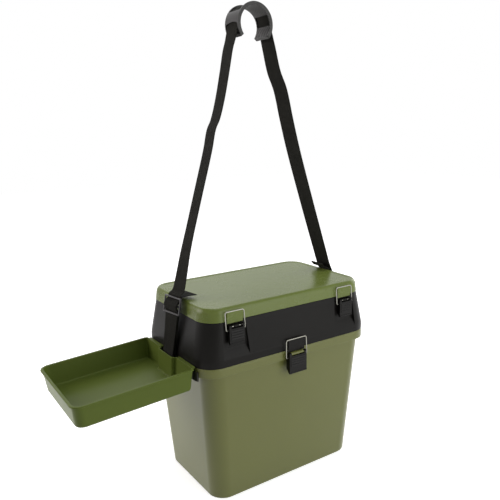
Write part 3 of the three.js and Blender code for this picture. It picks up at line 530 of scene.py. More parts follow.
def put(name, bm, finish, body, nodes, place=None, sharp=38):
    """Makes a piece of a bmesh: it rides on a body and stands for CAD nodes."""
    if place is not None:
        bmesh.ops.transform(bm, matrix=place, verts=bm.verts)
    bmesh.ops.scale(bm, vec=(1 / METRE,) * 3, verts=bm.verts)
    mesh = bpy.data.meshes.new(name)
    bm.to_mesh(mesh)
    bm.free()
    mesh.shade_smooth()
    mesh.set_sharp_from_angle(angle=math.radians(sharp))
    mesh.materials.append(MATERIALS[finish])
    piece = bpy.data.objects.new(name, mesh)
    bpy.context.scene.collection.objects.link(piece)
    even = piece.modifiers.new("Even shading", "WEIGHTED_NORMAL")
    even.keep_sharp = True
    even.weight = 80
    if body is not None:
        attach(piece, body)
    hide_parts(*nodes)
    return piece


def soften(bm, geom, radius, segments=2, affect="EDGES"):
    """Rounds edges, or the corners of a flat outline where it affects vertices."""
    return bmesh.ops.bevel(
        bm,
        geom=list(geom),
        offset=radius,
        offset_type="OFFSET",
        segments=segments,
        profile=0.5,
        affect=affect,
        material=-1,
        clamp_overlap=affect == "EDGES",
    )


def spin(bm, geom, axis, angle, steps, merge=False):
    """Spins a shape about an axis through the middle. A full turn is merged."""
    bmesh.ops.spin(
        bm,
        geom=geom,
        cent=(0, 0, 0),
        axis=axis,
        angle=angle,
        steps=steps,
        use_merge=merge,
        use_duplicate=False,
    )


def edges_at(verts):
    """The edges at some vertices, each once."""
    return list(dict.fromkeys(edge for vert in verts for edge in vert.link_edges))


def extrude(bm, face):
    """Draws a face on, and gives the new one."""
    out = bmesh.ops.extrude_face_region(bm, geom=[face, *face.edges])
    return next(item for item in out["geom"] if isinstance(item, bmesh.types.BMFace))


def add_block(bm, x0, x1, y0, y1, z0, z1, round_by, segments=2):
    """A box between two corners, with rounded edges."""
    size = Vector((abs(x1 - x0), abs(y1 - y0), abs(z1 - z0)))
    middle = Vector((x0 + x1, y0 + y1, z0 + z1)) / 2
    made = bmesh.ops.create_cube(bm, size=1, matrix=Matrix.Translation(middle) @ Matrix.Diagonal((*size, 1)))
    soften(bm, edges_at(made["verts"]), min(round_by, min(size) * 0.45), segments)


def add_prism(bm, points, axis, start, end, round_by=0.0):
    """A flat outline drawn out along X or Y. The points are (y, z) along X and (x, z) along Y."""
    places = [(start, a, b) if axis == "x" else (a, start, b) for a, b in points]
    face = bm.faces.new([bm.verts.new(place) for place in places])
    far = extrude(bm, face)
    shift = (end - start, 0, 0) if axis == "x" else (0, end - start, 0)
    bmesh.ops.translate(bm, vec=shift, verts=far.verts)
    verts = [*far.verts, *face.verts]
    faces = dict.fromkeys(f for vert in verts for f in vert.link_faces)
    bmesh.ops.recalc_face_normals(bm, faces=list(faces))
    if round_by:
        soften(bm, edges_at(verts), round_by)


def add_rod(bm, axis, radius, start, end, middle, round_by, sides=24):
    """A round rod along X or Y with softened ends. Its line goes through the middle."""
    turn = Matrix.Rotation(math.pi / 2, 4, {"x": "Y", "y": "X"}[axis])
    centre = Vector(middle)
    centre["xyz".index(axis)] = (start + end) / 2
    made = bmesh.ops.create_cone(
        bm,
        cap_ends=True,
        segments=sides,
        radius1=radius,
        radius2=radius,
        depth=abs(end - start),
        matrix=Matrix.Translation(centre) @ turn,
    )
    if round_by:
        edges = edges_at(made["verts"])
        soften(bm, [edge for edge in edges if any(len(face.verts) > 4 for face in edge.link_faces)], round_by)


def round_bends(places, steps, measured):
    """Rounds the bends of a run of places. A place is (numbers, reach): its numbers blend, and the bend
    reaches so far along its two sides. Their length is measured on the first few numbers."""
    run = []
    for index, (here, reach) in enumerate(places):
        if not reach or index in (0, len(places) - 1):
            run.append(here)
            continue
        ends = []
        for other, _ in (places[index - 1], places[index + 1]):
            share = min(reach / math.dist(here[:measured], other[:measured]), 0.48)
            ends.append([a + (b - a) * share for a, b in zip(here, other)])
        for step in range(steps + 1):
            t = step / steps
            first, mid, last = (1 - t) ** 2, math.sqrt(2) * t * (1 - t), t * t
            total = first + mid + last
            run.append([(first * a + mid * b + last * c) / total for a, b, c in zip(ends[0], here, ends[1])])
    return run


def draw_shell(profile, corners_of, steps, round_steps=4):
    """A closed shell. The first ring's outline is a face, drawn through every ring of the profile to the
    last. The profile's places are (ring, reach of its bend), and a ring's numbers start with (z, first x).
    corners_of gives a ring's corners as (x, y, radius)."""
    rings = round_bends(profile, round_steps, 2)
    bm = bmesh.new()
    corner = bm.verts.layers.int.new("corner")
    reach = bm.verts.layers.float_vector.new("reach")
    places = corners_of(rings[0])
    starts = [bm.verts.new((x, y, rings[0][0])) for x, y, _ in places]
    bm.faces.new(starts)
    for index, (start, (x, y, radius)) in enumerate(zip(starts, places)):
        for vert in soften(bm, [start], radius, steps, "VERTICES")["verts"]:
            vert[corner] = index
            vert[reach] = ((vert.co.x - x) / radius, (vert.co.y - y) / radius, 0)
    face = bm.faces[:][0]
    for ring in rings[1:]:
        face = extrude(bm, face)
        places = corners_of(ring)
        for vert in face.verts:
            x, y, radius = places[vert[corner]]
            vert.co = (x + vert[reach].x * radius, y + vert[reach].y * radius, ring[0])
    bm.verts.layers.int.remove(corner)
    bm.verts.layers.float_vector.remove(bm.verts.layers.float_vector["reach"])
    bmesh.ops.recalc_face_normals(bm, faces=bm.faces)
    return bm


def centred_corners(ring):
    """The corners of a ring (z, half length, half depth, radius)."""
    _, x, y, radius = ring
    return [(x, y, radius), (-x, y, radius), (-x, -y, radius), (x, -y, radius)]


def ring_at(base, z, inset=0.0):
    """A ring (z, half length, half depth, radius) drawn in by an inset."""
    return [z, base[0] - inset, base[1] - inset, max(base[2] - inset, 1.5)]


def between(low, high, share):
    return tuple(a + (b - a) * share for a, b in zip(low, high))


def bucket_wall(z, inset=0.0):
    return ring_at(between(BASE, NECK_RING, z / NECK), z, inset)


def case_wall(z, inset=0.0):
    share = max(0, (z - CASE_STRAIGHT) / (CASE_TOP - CASE_STRAIGHT))
    return ring_at(between(RIM, CASE_TOP_RING, share), z, inset)


def combine(bm, other, how):
    """Joins or cuts one closed bmesh with another, and gives the result as a new bmesh."""
    holders = []
    for part in (bm, other):
        mesh = bpy.data.meshes.new("part")
        part.to_mesh(mesh)
        part.free()
        holder = bpy.data.objects.new("part", mesh)
        bpy.context.scene.collection.objects.link(holder)
        holders.append(holder)
    change = holders[0].modifiers.new("Combine", "BOOLEAN")
    change.operation = how
    change.object = holders[1]
    change.solver = "EXACT"
    bpy.context.view_layer.update()
    graph = bpy.context.evaluated_depsgraph_get()
    result = bpy.data.meshes.new_from_object(holders[0].evaluated_get(graph))
    out = bmesh.new()
    out.from_mesh(result)
    bpy.data.meshes.remove(result)
    for holder in holders:
        mesh = holder.data
        bpy.data.objects.remove(holder)
        bpy.data.meshes.remove(mesh)
    return out


def add_knuckles(bm, x, axis, wall_back, above):
    """Knuckles of a rear hinge with their webs. The middle one belongs to the piece above."""
    y, z = axis
    way = 1 if above else -1
    for place in [0] if above else [-KNUCKLE_PITCH, KNUCKLE_PITCH]:
        x0 = x + place - KNUCKLE / 2
        x1 = x + place + KNUCKLE / 2
        add_rod(bm, "x", KNUCKLE_RADIUS, x0, x1, (0, y, z), 0.5)
        low, high = sorted((z + way * 0.15, z + way * 8))
        add_block(bm, x0, x1, wall_back - 1.5, y, low, high, 0.3)
        rib = [(wall_back - 0.5, z), (y, z), (wall_back - 0.5, z + way * 16)]
        add_prism(bm, rib, "x", x + place - 1, x + place + 1, 0.2)


def add_lug(bm, x, spans, wall_front, pivot):
    """A latch's lug in short spans, with the pin showing between them."""
    y, z = pivot
    radius = 2.5
    for x0, x1 in spans:
        add_rod(bm, "x", radius, x + x0, x + x1, (0, y, z), 0.35)
        add_block(bm, x + x0, x + x1, y, -wall_front, z - radius, z + radius, 0.35)


# The moulded shells


def rim_wall(z, inset=0.0):
    return ring_at(RIM, z, inset)


def make_bucket(sizes):
    """The bucket: a grooved bottom, leaning walls, the rim with its skirt, a latch's lug and knuckles."""
    wall = sizes.wall * METRE
    profile = [
        (bucket_wall(0, 16), 0),
        (bucket_wall(0, 9), 1.0),
        (bucket_wall(1.2, 8.4), 0.5),
        (bucket_wall(1.2, 7.4), 0.5),
        (bucket_wall(0, 6.8), 0.6),
        (bucket_wall(0), 3.5),
        (bucket_wall(BUCKET_TOP - RIM_FLANGE), 1.0),
        (rim_wall(BUCKET_TOP - RIM_FLANGE, RIM_SKIRT), 0.6),
        (rim_wall(NECK, RIM_SKIRT), 0.6),
        (rim_wall(NECK), 0.8),
        (rim_wall(BUCKET_TOP - 3.4), 0.3),
        (rim_wall(BUCKET_TOP - 3.0, 0.35), 0.3),
        (rim_wall(BUCKET_TOP, 0.35), 0.9),
        (bucket_wall(BUCKET_TOP, wall), 0.8),
        (bucket_wall(wall, wall), 4),
        (bucket_wall(wall, 24), 0),
    ]
    bm = draw_shell(profile, centred_corners, sizes.corner_steps)
    add_lug(bm, 0, [(-14.6, 14.6)], RIM[1] - RIM_SKIRT / 2, BUCKET_PIVOT)
    for side in (-1, 1):
        add_knuckles(bm, side * HINGE_X, CASE_HINGE, RIM[1], False)
    return put("bucket_shell", bm, "bucket", "bucket_body", ["bucket"])


def flared_prism(x, half, profile):
    """A prism of a profile (y, z) round a lid latch's middle, wider at its foot."""
    bm = bmesh.new()
    add_prism(bm, profile, "x", -half, half)
    foot, top = min(z for _, z in profile), max(z for _, z in profile)
    for vert in bm.verts:
        flare = 1 + POCKET_FLARE / half * (top - vert.co.z) / (top - foot)
        vert.co.x = vert.co.x * flare + x
    return bm


def pocket_cutter(x):
    """The recess that a lid latch lies in. Its back slopes out to the wall at the foot."""
    foot, top = CASE_TOP - 67, CASE_TOP + 2
    profile = [(-128, foot), (-123, foot), (POCKET_BACK, foot + 18), (POCKET_BACK, top), (-128, top)]
    bm = flared_prism(x, POCKET_HALF, profile)
    inner = [
        edge
        for edge in bm.edges
        if all(abs(vert.co.y - POCKET_BACK) < 0.01 for vert in edge.verts)
        and max(vert.co.z for vert in edge.verts) - min(vert.co.z for vert in edge.verts) > 1
    ]
    soften(bm, inner, 1.6, 4)
    return bm


def pocket_boss(x):
    """The wall that stands behind a latch's recess, inside the case."""
    foot, top = CASE_TOP - 69.8, CASE_TOP - 0.4
    profile = [(-121.5, foot), (-119.8, foot), (-111.8, foot + 19), (-111.8, top), (-114.0, top)]
    return flared_prism(x, BOSS_HALF, profile)


def spigot_wall(z, inset):
    return ring_at(between(BASE, NECK_RING, min(z, BUCKET_TOP) / NECK), z, inset)


def make_case(sizes):
    """The tackle case: a spigot into the bucket, four compartments, latch recesses, lugs and knuckles."""
    wall = sizes.wall * METRE
    inner, outer, depth = 6.6, 4.2, 5
    profile = [
        (spigot_wall(CASE_FOOT, 20), 0),
        (spigot_wall(CASE_FOOT, inner), 0.6),
        (spigot_wall(CASE_FOOT - depth, inner), 0.5),
        (spigot_wall(CASE_FOOT - depth, outer), 0.8),
        (spigot_wall(CASE_FOOT, outer), 0.4),
        (case_wall(CASE_FOOT), 0.8),
        (case_wall(CASE_STRAIGHT), 5),
        (case_wall(CASE_TOP), 0.7),
        (case_wall(CASE_TOP, wall), 0.5),
        (case_wall(CASE_STRAIGHT, wall), 4),
        (case_wall(CASE_FOOT + CASE_FLOOR, wall), 2.4),
        (case_wall(CASE_FOOT + CASE_FLOOR, 20), 0),
    ]
    bm = draw_shell(profile, centred_corners, sizes.corner_steps)
    for side in (-1, 1):
        bm = combine(bm, pocket_boss(side * LID_LATCH_X), "UNION")
        bm = combine(bm, pocket_cutter(side * LID_LATCH_X), "DIFFERENCE")
    foot, bend, top = CASE_FOOT + CASE_FLOOR - 1, CASE_STRAIGHT, CASE_TOP - 12
    long_wall = [(-195.8, foot), (195.8, foot), (195.8, bend), (186.4, top), (-186.4, top), (-195.8, bend)]
    add_prism(bm, long_wall, "y", 32, 34, 0.4)
    for x in DIVIDERS:
        cross_wall = [(-121.4, foot), (33, foot), (33, top), (-115.1, top), (-121.4, bend)]
        add_prism(bm, cross_wall, "x", x - 1, x + 1, 0.4)
    add_block(bm, *KEEPER, 0.8, 3)
    # The tongue's black beyond the keeper's sides stands in for the shadow beside the keeper, as a painted
    # shadow.
    add_block(bm, *TONGUE_AND_SHADOW, 0.6)
    for side in (-1, 1):
        spans = [(-11.5, -9), (-5.6, 5.6), (9, 11.5)]
        add_lug(bm, side * LID_LATCH_X, spans, -POCKET_BACK - 1.4, LID_PIVOT)
        add_knuckles(bm, side * HINGE_X, CASE_HINGE, RIM[1], True)
        add_knuckles(bm, side * HINGE_X, LID_HINGE, CASE_TOP_RING[1], False)
    return put("tackle_case", bm, "case", "case_body", ["case"])


def make_lid(sizes):
    """The seat lid: a leaning wall, a sunk panel, a lip into the case, two latch keepers and the knuckles."""
    wall = sizes.wall * METRE

    def lid(z, inset=0.0):
        return ring_at(LID_RING, z, inset)

    def lip(z, inset):
        return ring_at(CASE_TOP_RING, z, inset)

    inner, outer, depth = 5.8, 3.8, 4
    profile = [
        (lid(LID_TOP - wall, 26), 0),
        (lid(LID_TOP - wall, wall + LID_LEAN), 8),
        (lid(LID_FOOT + wall, wall + 0.4), 0.8),
        (lip(LID_FOOT + wall, inner), 0.5),
        (lip(LID_FOOT - depth, inner), 0.5),
        (lip(LID_FOOT - depth, outer), 0.7),
        (lip(LID_FOOT, outer), 0.4),
        (lid(LID_FOOT), 0.7),
        (lid(LID_TOP, LID_LEAN), LID_ROUND),
        (lid(LID_TOP, PANEL_SET), 0.5),
        (lid(LID_TOP - PANEL_DEPTH, PANEL_SET + 0.5), 0.4),
        (lid(LID_TOP - PANEL_DEPTH, 26), 0),
    ]
    bm = draw_shell(profile, centred_corners, sizes.corner_steps, 6)
    for side in (-1, 1):
        x = side * LID_LATCH_X
        add_block(bm, x - 16.8, x + 16.8, -118.2, -114, LID_FOOT - 3.6, LID_FOOT + 18.3, 0.9, 3)
        add_knuckles(bm, side * HINGE_X, LID_HINGE, LID_RING[1], True)
    return put("seat_lid", bm, "lid", "lid_body", ["lid"])


def tray_corners(ring):
    """The corners of a tray ring: (z, far x, near x, half width, half of the strap notch at its mouth and at
    its back, near and far radius)."""
    _, far, near, half, mouth, back, near_round, far_round = ring
    front = [(near, half, near_round), (far, half, far_round)]
    notch = [(near - NOTCH_DEPTH, back, NOTCH_BEND), (near, mouth, NOTCH_BEND)]
    return [
        *front,
        *((x, -y, radius) for x, y, radius in reversed(front)),
        *((x, -y, radius) for x, y, radius in reversed(notch)),
        *notch,
    ]


def tray_wall(z, inset):
    """A ring of the tray's leaning wall."""
    share = -z / TRAY_DEPTH
    return [
        z,
        -TRAY_LENGTH + 3 + 4 * share + inset,
        TRAY_NEAR - 5 * share - inset,
        TRAY_HALF - 3 - 6.2 * share - inset,
        NOTCH_MOUTH - 1.1 * share + inset,
        NOTCH_BACK + inset,
        max(7 - inset, 2),
        max(16 - inset, 3),
    ]


def tray_bead(z):
    """A ring of the bead round the tray's mouth."""
    return [z, -TRAY_LENGTH, TRAY_NEAR, TRAY_HALF, NOTCH_MOUTH, NOTCH_BACK, 7, 19]


def make_tray(sizes):
    """The side tray with its strap notch, and two hooks with gussets over the left rail."""
    profile = [
        (tray_wall(-TRAY_DEPTH, 16), 0),
        (tray_wall(-TRAY_DEPTH, 7), 0.6),
        (tray_wall(-TRAY_DEPTH + 0.9, 6.2), 0.5),
        (tray_wall(-TRAY_DEPTH + 0.9, 5.4), 0.5),
        (tray_wall(-TRAY_DEPTH, 4.6), 0.5),
        (tray_wall(-TRAY_DEPTH, 0), 3.6),
        (tray_wall(-TRAY_BEAD, 0), 0.5),
        (tray_bead(-TRAY_BEAD), 0.7),
        (tray_bead(0), 1.3),
        (tray_wall(0, TRAY_WALL), 0.8),
        (tray_wall(-TRAY_DEPTH + TRAY_WALL, TRAY_WALL), 2.4),
        (tray_wall(-TRAY_DEPTH + TRAY_WALL, 16), 0),
    ]
    bm = draw_shell(profile, tray_corners, max(sizes.corner_steps // 2, 4))
    for side in (-1, 1):
        add_block(bm, -6.5, 0, side * 34.5, side * 92, -TRAY_HOOK, 0, 0.5)
        add_block(bm, -1.6, 0, side * 36, side * 79, -8.5, -0.4, 0.5)
        for y in (40, 57.5, 75):
            gusset = [(-6.2, -2), (-0.8, -2), (-6.8, -7.5)]
            add_prism(bm, gusset, "y", side * y - 0.8, side * y + 0.8, 0.2)
    lean_at = 0.8  # how far from the rim the tray's mouth begins
    top = RAIL_TOP + FIT + TRAY_HOOK + (FIT + RAIL_GAP + RAIL - lean_at) * math.sin(TRAY_SAG)
    place = Matrix.Translation((-RIM[0] - lean_at, 0, top)) @ Matrix.Rotation(-TRAY_SAG, 4, "Y")
    return put("hooked_tray", bm, "tray", "tray_body", ["side_tray"], place)


# Latches


class Latch(NamedTuple):
    """A draw latch's measures."""

    label: str
    x: float
    pivot: tuple
    width: float
    drop: float  # how far the lever hangs below its pivot
    lug: float  # half the width of the lug that the lever is notched for
    reach: float  # how far back the lever's flanges reach
    bail: float  # the bail's width
    rise: float
    sway: float  # how far the bail's top leans to one side
    splay: float
    body: str  # the body that carries the pin


LATCHES = [
    Latch("left", -LID_LATCH_X, LID_PIVOT, 32, 32.5, 11.5, 6.15, 41.4, 34, -1.4, 0, "case_body"),
    Latch("right", LID_LATCH_X, LID_PIVOT, 32, 32.5, 11.5, 6.15, 41.4, 34, -1.4, 0, "case_body"),
    Latch("centre", 0, BUCKET_PIVOT, 41, 38.2, 14.6, 6.95, 49.4, 35, 0, 0.6, "bucket_body"),
]


def make_lever(latch):
    """A draw latch's lever: a ribbed plate with two flanges, notched where its lug shows."""
    half, drop, reach = latch.width / 2, latch.drop, latch.reach
    front, back, top = -3.6, -1.4, 2.8
    bm = bmesh.new()
    add_prism(bm, [(front, -drop), (front, top), (back, top), (back, -drop)], "x", -half, half, 0.45)
    notch = bmesh.new()
    add_block(notch, -latch.lug - 0.6, latch.lug + 0.6, -6, 1, -3.1, 6, 0.5)
    bm = combine(bm, notch, "DIFFERENCE")
    flank = [(-2.6, -drop), (back, -drop), (reach, 9 - drop), (reach, -top), (reach / 2, top), (-2.6, top)]
    for side in (-1, 1):
        x0 = -half if side < 0 else half - LEVER_FLANGE
        add_prism(bm, flank, "x", x0, x0 + LEVER_FLANGE, 0.4)
        add_rod(bm, "x", 1.9, side * (half - LEVER_FLANGE), side * half, (0, *BAIL_EYE), 0.2)
    for rib in range(LEVER_RIBS):
        z = -6.4 - rib * LEVER_RIB_PITCH
        ridge = [(-3.0, z), (-4.1, z - 0.1), (-4.75, z - 2.4), (-4.75, z - 2.7), (-3.0, z - 2.8)]
        add_prism(bm, ridge, "x", 3.2 - half, half - 3.2, 0.12)
    lip = [(-3.6, 0), (-4.4, 0.6), (-4.4, 2.2), (-3.4, 3.4), (-2.6, 3.4), (-2.6, 0)]
    add_prism(bm, [(y, up - drop) for y, up in lip], "x", 0.3 - half, half - 0.3, 0.25)
    name, place = f"latch_lever_{latch.label}", Matrix.Translation((latch.x, *latch.pivot))
    return put(f"{name}_moulding", bm, "lever", f"lever_{latch.label}_body", [name], place)


def draw_section(bm, section, stations):
    """Draws a section along stations. The section's points are (a, b). A station is (middle, a axis, b axis).
    Each vertex keeps its place in the section and how far along the stations it lies."""
    order = bm.verts.layers.int.new("order")
    travel = bm.verts.layers.float.new("travel")
    middle, a_axis, b_axis = stations[0]
    verts = [bm.verts.new(middle + a_axis * a + b_axis * b) for a, b in section]
    for index, vert in enumerate(verts):
        vert[order] = index
    face = bm.faces.new(verts)
    distance = 0.0
    before = middle
    for middle, a_axis, b_axis in stations[1:]:
        distance += (middle - before).length
        before = middle
        face = extrude(bm, face)
        for vert in face.verts:
            a, b = section[vert[order]]
            vert.co = middle + a_axis * a + b_axis * b
            vert[travel] = distance
    bmesh.ops.recalc_face_normals(bm, faces=bm.faces)


def round_section(radius, sides):
    angles = [2 * math.pi * side / sides for side in range(sides)]
    return [(radius * math.cos(angle), radius * math.sin(angle)) for angle in angles]


def make_bail(latch, radius):
    """A wire bail: in from the lever's flanges, up both sides and across the top. Its top sways to one side
    and back, and its feet splay."""
    arm, foot = latch.bail / 2 - radius, latch.width / 2 - LEVER_FLANGE
    points = [
        ((foot, 0, 0), 0),
        ((arm + latch.splay, 0, 0), 2.2),
        ((arm + latch.sway, BAIL_BACK, latch.rise), 4),
        ((-arm + latch.sway, BAIL_BACK, latch.rise), 4),
        ((-arm - latch.splay, 0, 0), 2.2),
        ((-foot, 0, 0), 0),
    ]
    run = [Vector(point) for point in round_bends(points, 5, 3)]
    stations = []
    for index, point in enumerate(run):
        ahead = run[min(index + 1, len(run) - 1)] - run[max(index - 1, 0)]
        stations.append((point, ahead.normalized().cross(DEPTHWAYS), DEPTHWAYS))
    bm = bmesh.new()
    draw_section(bm, round_section(radius, 14), stations)
    bmesh.ops.dissolve_degenerate(bm, dist=0.0001, edges=bm.edges)
    y, z = (pivot + eye for pivot, eye in zip(latch.pivot, BAIL_EYE))
    name, place = f"latch_bail_{latch.label}", Matrix.Translation((latch.x, y, z))
    return put(f"{name}_wire", bm, "steel", f"bail_{latch.label}_body", [name], place)


def put_pin(name, axis, radius, start, end, middle, body, round_by=0.5):
    """A plain steel rod with softened ends that stands for the node of its name."""
    bm = bmesh.new()
    add_rod(bm, axis, radius, start, end, middle, round_by, 20)
    return put(f"{name}_rod", bm, "steel", body, [name])


def make_latch_pin(latch):
    half = latch.width / 2 - 0.3
    ends, middle = (latch.x - half, latch.x + half), (0, *latch.pivot)
    return put_pin(f"latch_pin_{latch.label}", "x", LATCH_PIN, *ends, middle, latch.body, 0.3)


# Hinge pins, brackets and rivets


def make_hinge_pin(name, x, axis, body):
    half = (3 * KNUCKLE + 1 + 3) / 2
    return put_pin(name, "x", HINGE_PIN, x - half, x + half, (0, *axis), body)


def make_bracket(label, side):
    """A strip bent round the rim, with a rail in two runs and two ears for the strap's bar."""
    reach, half, bend = (size + FIT for size in RIM)
    bm = bmesh.new()
    made = bmesh.ops.create_grid(bm, x_segments=1, y_segments=1, size=1)
    for vert in made["verts"]:
        vert.co = (math.copysign(reach, vert.co.x), math.copysign(half, vert.co.y), STRIP_FOOT)
    soften(bm, bm.verts, bend, 16, "VERTICES")
    bmesh.ops.delete(bm, geom=bm.faces[:], context="FACES_ONLY")
    cuts = [
        ((0, -STRIP_END, 0), (0, -1, 0)),
        ((0, STRIP_END, 0), (0, 1, 0)),
        ((reach / 2, 0, 0), (-1, 0, 0)),  # the other end of the rim
    ]
    for place, normal in cuts:
        geom = bm.verts[:] + bm.edges[:]
        bmesh.ops.bisect_plane(bm, geom=geom, plane_co=place, plane_no=normal, clear_outer=True)
    out = bmesh.ops.extrude_edge_only(bm, edges=bm.edges[:])
    moved = [item for item in out["geom"] if isinstance(item, bmesh.types.BMVert)]
    bmesh.ops.translate(bm, vec=(0, 0, STRIP_TOP - STRIP_FOOT), verts=moved)
    outward = bmesh.ops.extrude_face_region(bm, geom=bm.faces[:])
    for vert in outward["geom"]:
        if not isinstance(vert, bmesh.types.BMVert):
            continue
        over = Vector((max(abs(vert.co.x) - (reach - bend), 0), max(abs(vert.co.y) - (half - bend), 0)))
        push = over.normalized() * STRIP
        vert.co.x += push.x
        vert.co.y += math.copysign(push.y, vert.co.y)
    bmesh.ops.remove_doubles(bm, verts=bm.verts, dist=0.001)
    bmesh.ops.recalc_face_normals(bm, faces=bm.faces)
    soften(bm, [edge for edge in bm.edges if edge.calc_face_angle(0) > math.radians(60)], 0.45)
    inner = reach + RAIL_GAP
    outer = inner + RAIL
    for end in (-1, 1):
        near, far = (end * y for y in RAIL_SPAN)
        add_block(bm, reach + 1, outer, near, far, STRIP_TOP - STRIP, STRIP_TOP, 0.5)
        add_block(bm, inner, outer, near, far, STRIP_TOP - STRIP + 0.1, RAIL_TOP, 0.6)
        near, far = sorted(end * y for y in EAR_SPAN)
        add_block(bm, reach + 1, BAR_X, near, far, BAR_Z - EAR, BAR_Z + 0.3, 0.4)
        add_rod(bm, "y", EAR, near, far, (BAR_X, 0, BAR_Z), 0.6, 28)
    if side < 0:
        bmesh.ops.rotate(bm, cent=(0, 0, 0), matrix=Matrix.Rotation(math.pi, 3, "Z"), verts=bm.verts)
    return put(f"side_bracket_{label}_strip", bm, "bracket", "bucket_body", [f"side_bracket_{label}"])


def make_strap_bar(label, side):
    ends, middle = (-26.2, 26.2), (side * BAR_X, 0, BAR_Z)
    return put_pin(f"strap_bar_{label}", "y", BAR_RADIUS, *ends, middle, "bucket_body")


def make_rivet(label, side, number, y):
    """A domed rivet: the half outlines (out, along) of its head and shank are spun about its middle."""
    head = [(0, 1.5), (1.2, 1.42), (2.2, 1.1), (2.9, 0.6), (3.2, 0.12), (3.2, 0)]
    shank = [(1.8, 0), (1.8, -5.1), (0, -5.1)]
    bm = bmesh.new()
    verts = [bm.verts.new((out, 0, along)) for out, along in head + shank]
    for first, second in zip(verts, verts[1:]):
        bm.edges.new((first, second))
    spin(bm, bm.verts[:] + bm.edges[:], (0, 0, 1), 2 * math.pi, 20, True)
    bmesh.ops.remove_doubles(bm, verts=bm.verts, dist=0.001)
    bmesh.ops.recalc_face_normals(bm, faces=bm.faces)
    seat = Vector((side * (RIM[0] + FIT + STRIP + FIT), y, RIVET_Z))
    place = Matrix.Translation(seat) @ Matrix.Rotation(side * math.pi / 2, 4, "Y")
    name = f"bracket_rivet_{label}_{number}"
    return put(f"{name}_domed", bm, "steel", "bucket_body", [name], place, sharp=30)


# The carrying strap


class Strand(NamedTuple):
    """One side of the strap: its slider, the loop with its free end, and the leg up to the grip."""

    label: str
    side: int
    y: float  # the slider's middle
    height: float
    turn: float  # of the slider about its rear end
    twist: float  # of the leg about its own length
    tail: list
    low: list
    high: list


def about_rear_end(strand, share=1.0):
    """A share of a strand's turn, about the upright line through the rear end of its slider."""
    pivot = Vector((strand.side * SLIDER_X, strand.y + SLIDER_HALF, 0))
    turn = Matrix.Rotation(strand.turn * share, 4, "Z")
    return Matrix.Translation(pivot) @ turn @ Matrix.Translation(-pivot)


def make_slider(strand):
    """A webbing slider: a frame with a ribbed round bar between its two windows."""
    bar, side = SLIDER_BAR, strand.side
    bm = bmesh.new()
    for z in (-SLIDER_ROW, 0, SLIDER_ROW):
        add_rod(bm, "y", bar, -22.6, 22.6, (0, 0, z), 0.3, 20)
    for row in (-1, 1):
        z = row * SLIDER_ROW
        add_block(bm, -bar, bar, -23.5, 23.5, z - 1.1, z + row * bar, 0.5)
        add_block(bm, -bar, bar, row * 21.4, row * SLIDER_HALF, -SLIDER_END, SLIDER_END, 1.2, 3)
    for rib in range(-8, 9):
        add_rod(bm, "y", bar + 0.12, rib * 2.4 - 0.4, rib * 2.4 + 0.4, (0, 0, 0), 0.1, 16)
    lean = Matrix.Rotation(-side * SLIDER_LEAN, 4, "Y")
    place = Matrix.Translation((side * SLIDER_X, strand.y, strand.height)) @ lean
    name = f"strap_slider_{strand.label}"
    return put(f"{name}_frame", bm, "slider", "bucket_body", [name], about_rear_end(strand) @ place)


def slider_point(strand, out, up):
    """A place in a leaning slider's middle plane, as (x, z)."""
    x = SLIDER_X + out * math.cos(SLIDER_LEAN) - up * math.sin(SLIDER_LEAN)
    return strand.side * x, strand.height + out * math.sin(SLIDER_LEAN) + up * math.cos(SLIDER_LEAN)


def weave_run(strand, inside, outside):
    """A layer's way through a slider, in a smooth wave round its bars."""
    run = []
    for step in range(2 * WEAVE_STEPS + 1):
        rise = SLIDER_END * (step / WEAVE_STEPS - 1)
        swing = math.cos(math.pi * min(abs(rise), SLIDER_ROW) / SLIDER_ROW)
        run.append(slider_point(strand, -inside + (outside + inside) * (1 + swing) / 2, rise))
    return run


def near_slider(strand, places):
    """Places (inwards, up) from a slider's middle, as (x, z)."""
    return [(strand.side * (SLIDER_X - inwards), strand.height + up) for inwards, up in places]


def smooth_run(places, steps):
    """A centripetal curve through places (x, z)."""
    ends = [Vector(place) for place in places]
    ends = [ends[0] * 2 - ends[1], *ends, ends[-1] * 2 - ends[-2]]
    run = []

    def mix(first, second, low, high, t):
        return first * ((high - t) / (high - low)) + second * ((t - low) / (high - low))

    for index in range(1, len(ends) - 2):
        a, b, c, d = ends[index - 1 : index + 3]
        knots = [0.0]
        for first, second in ((a, b), (b, c), (c, d)):
            knots.append(knots[-1] + max((second - first).length ** 0.5, 0.0001))
        k0, k1, k2, k3 = knots
        for step in range(steps):
            t = k1 + (k2 - k1) * step / steps
            middle = mix(b, c, k1, k2, t)
            low = mix(mix(a, b, k0, k1, t), middle, k0, k2, t)
            high = mix(middle, mix(c, d, k2, k3, t), k1, k3, t)
            run.append(tuple(mix(low, high, k1, k2, t)))
    run.append(tuple(ends[-2]))
    return run


def webbing_stations(run, lean, twist=None):
    """Stations of a flat strip along a run in X and Z, with its width along Y, turned by a twist."""
    stations = []
    for index, (x, z) in enumerate(run):
        x0, z0 = run[max(index - 1, 0)]
        x1, z1 = run[min(index + 1, len(run) - 1)]
        along = Vector((x1 - x0, 0, z1 - z0)).normalized()
        width = DEPTHWAYS
        if twist is not None:
            width = Matrix.Rotation(twist(index / (len(run) - 1)), 3, along) @ width
        stations.append((Vector((x, lean(z), z)), width, along.cross(width)))
    return stations


def smooth_share(value, start, end):
    """0 before the start and 1 past the end, with a smooth rise between them."""
    share = min(max((value - start) / (end - start), 0), 1)
    return share * share * (3 - 2 * share)


def turn_stations(stations, strand, share_at):
    """Stations turned with their slider, as far as the share at their height says."""
    done = []
    for place, width, normal in stations:
        turn = about_rear_end(strand, share_at(place.z))
        done.append((turn @ place, turn.to_3x3() @ width, turn.to_3x3() @ normal))
    return done


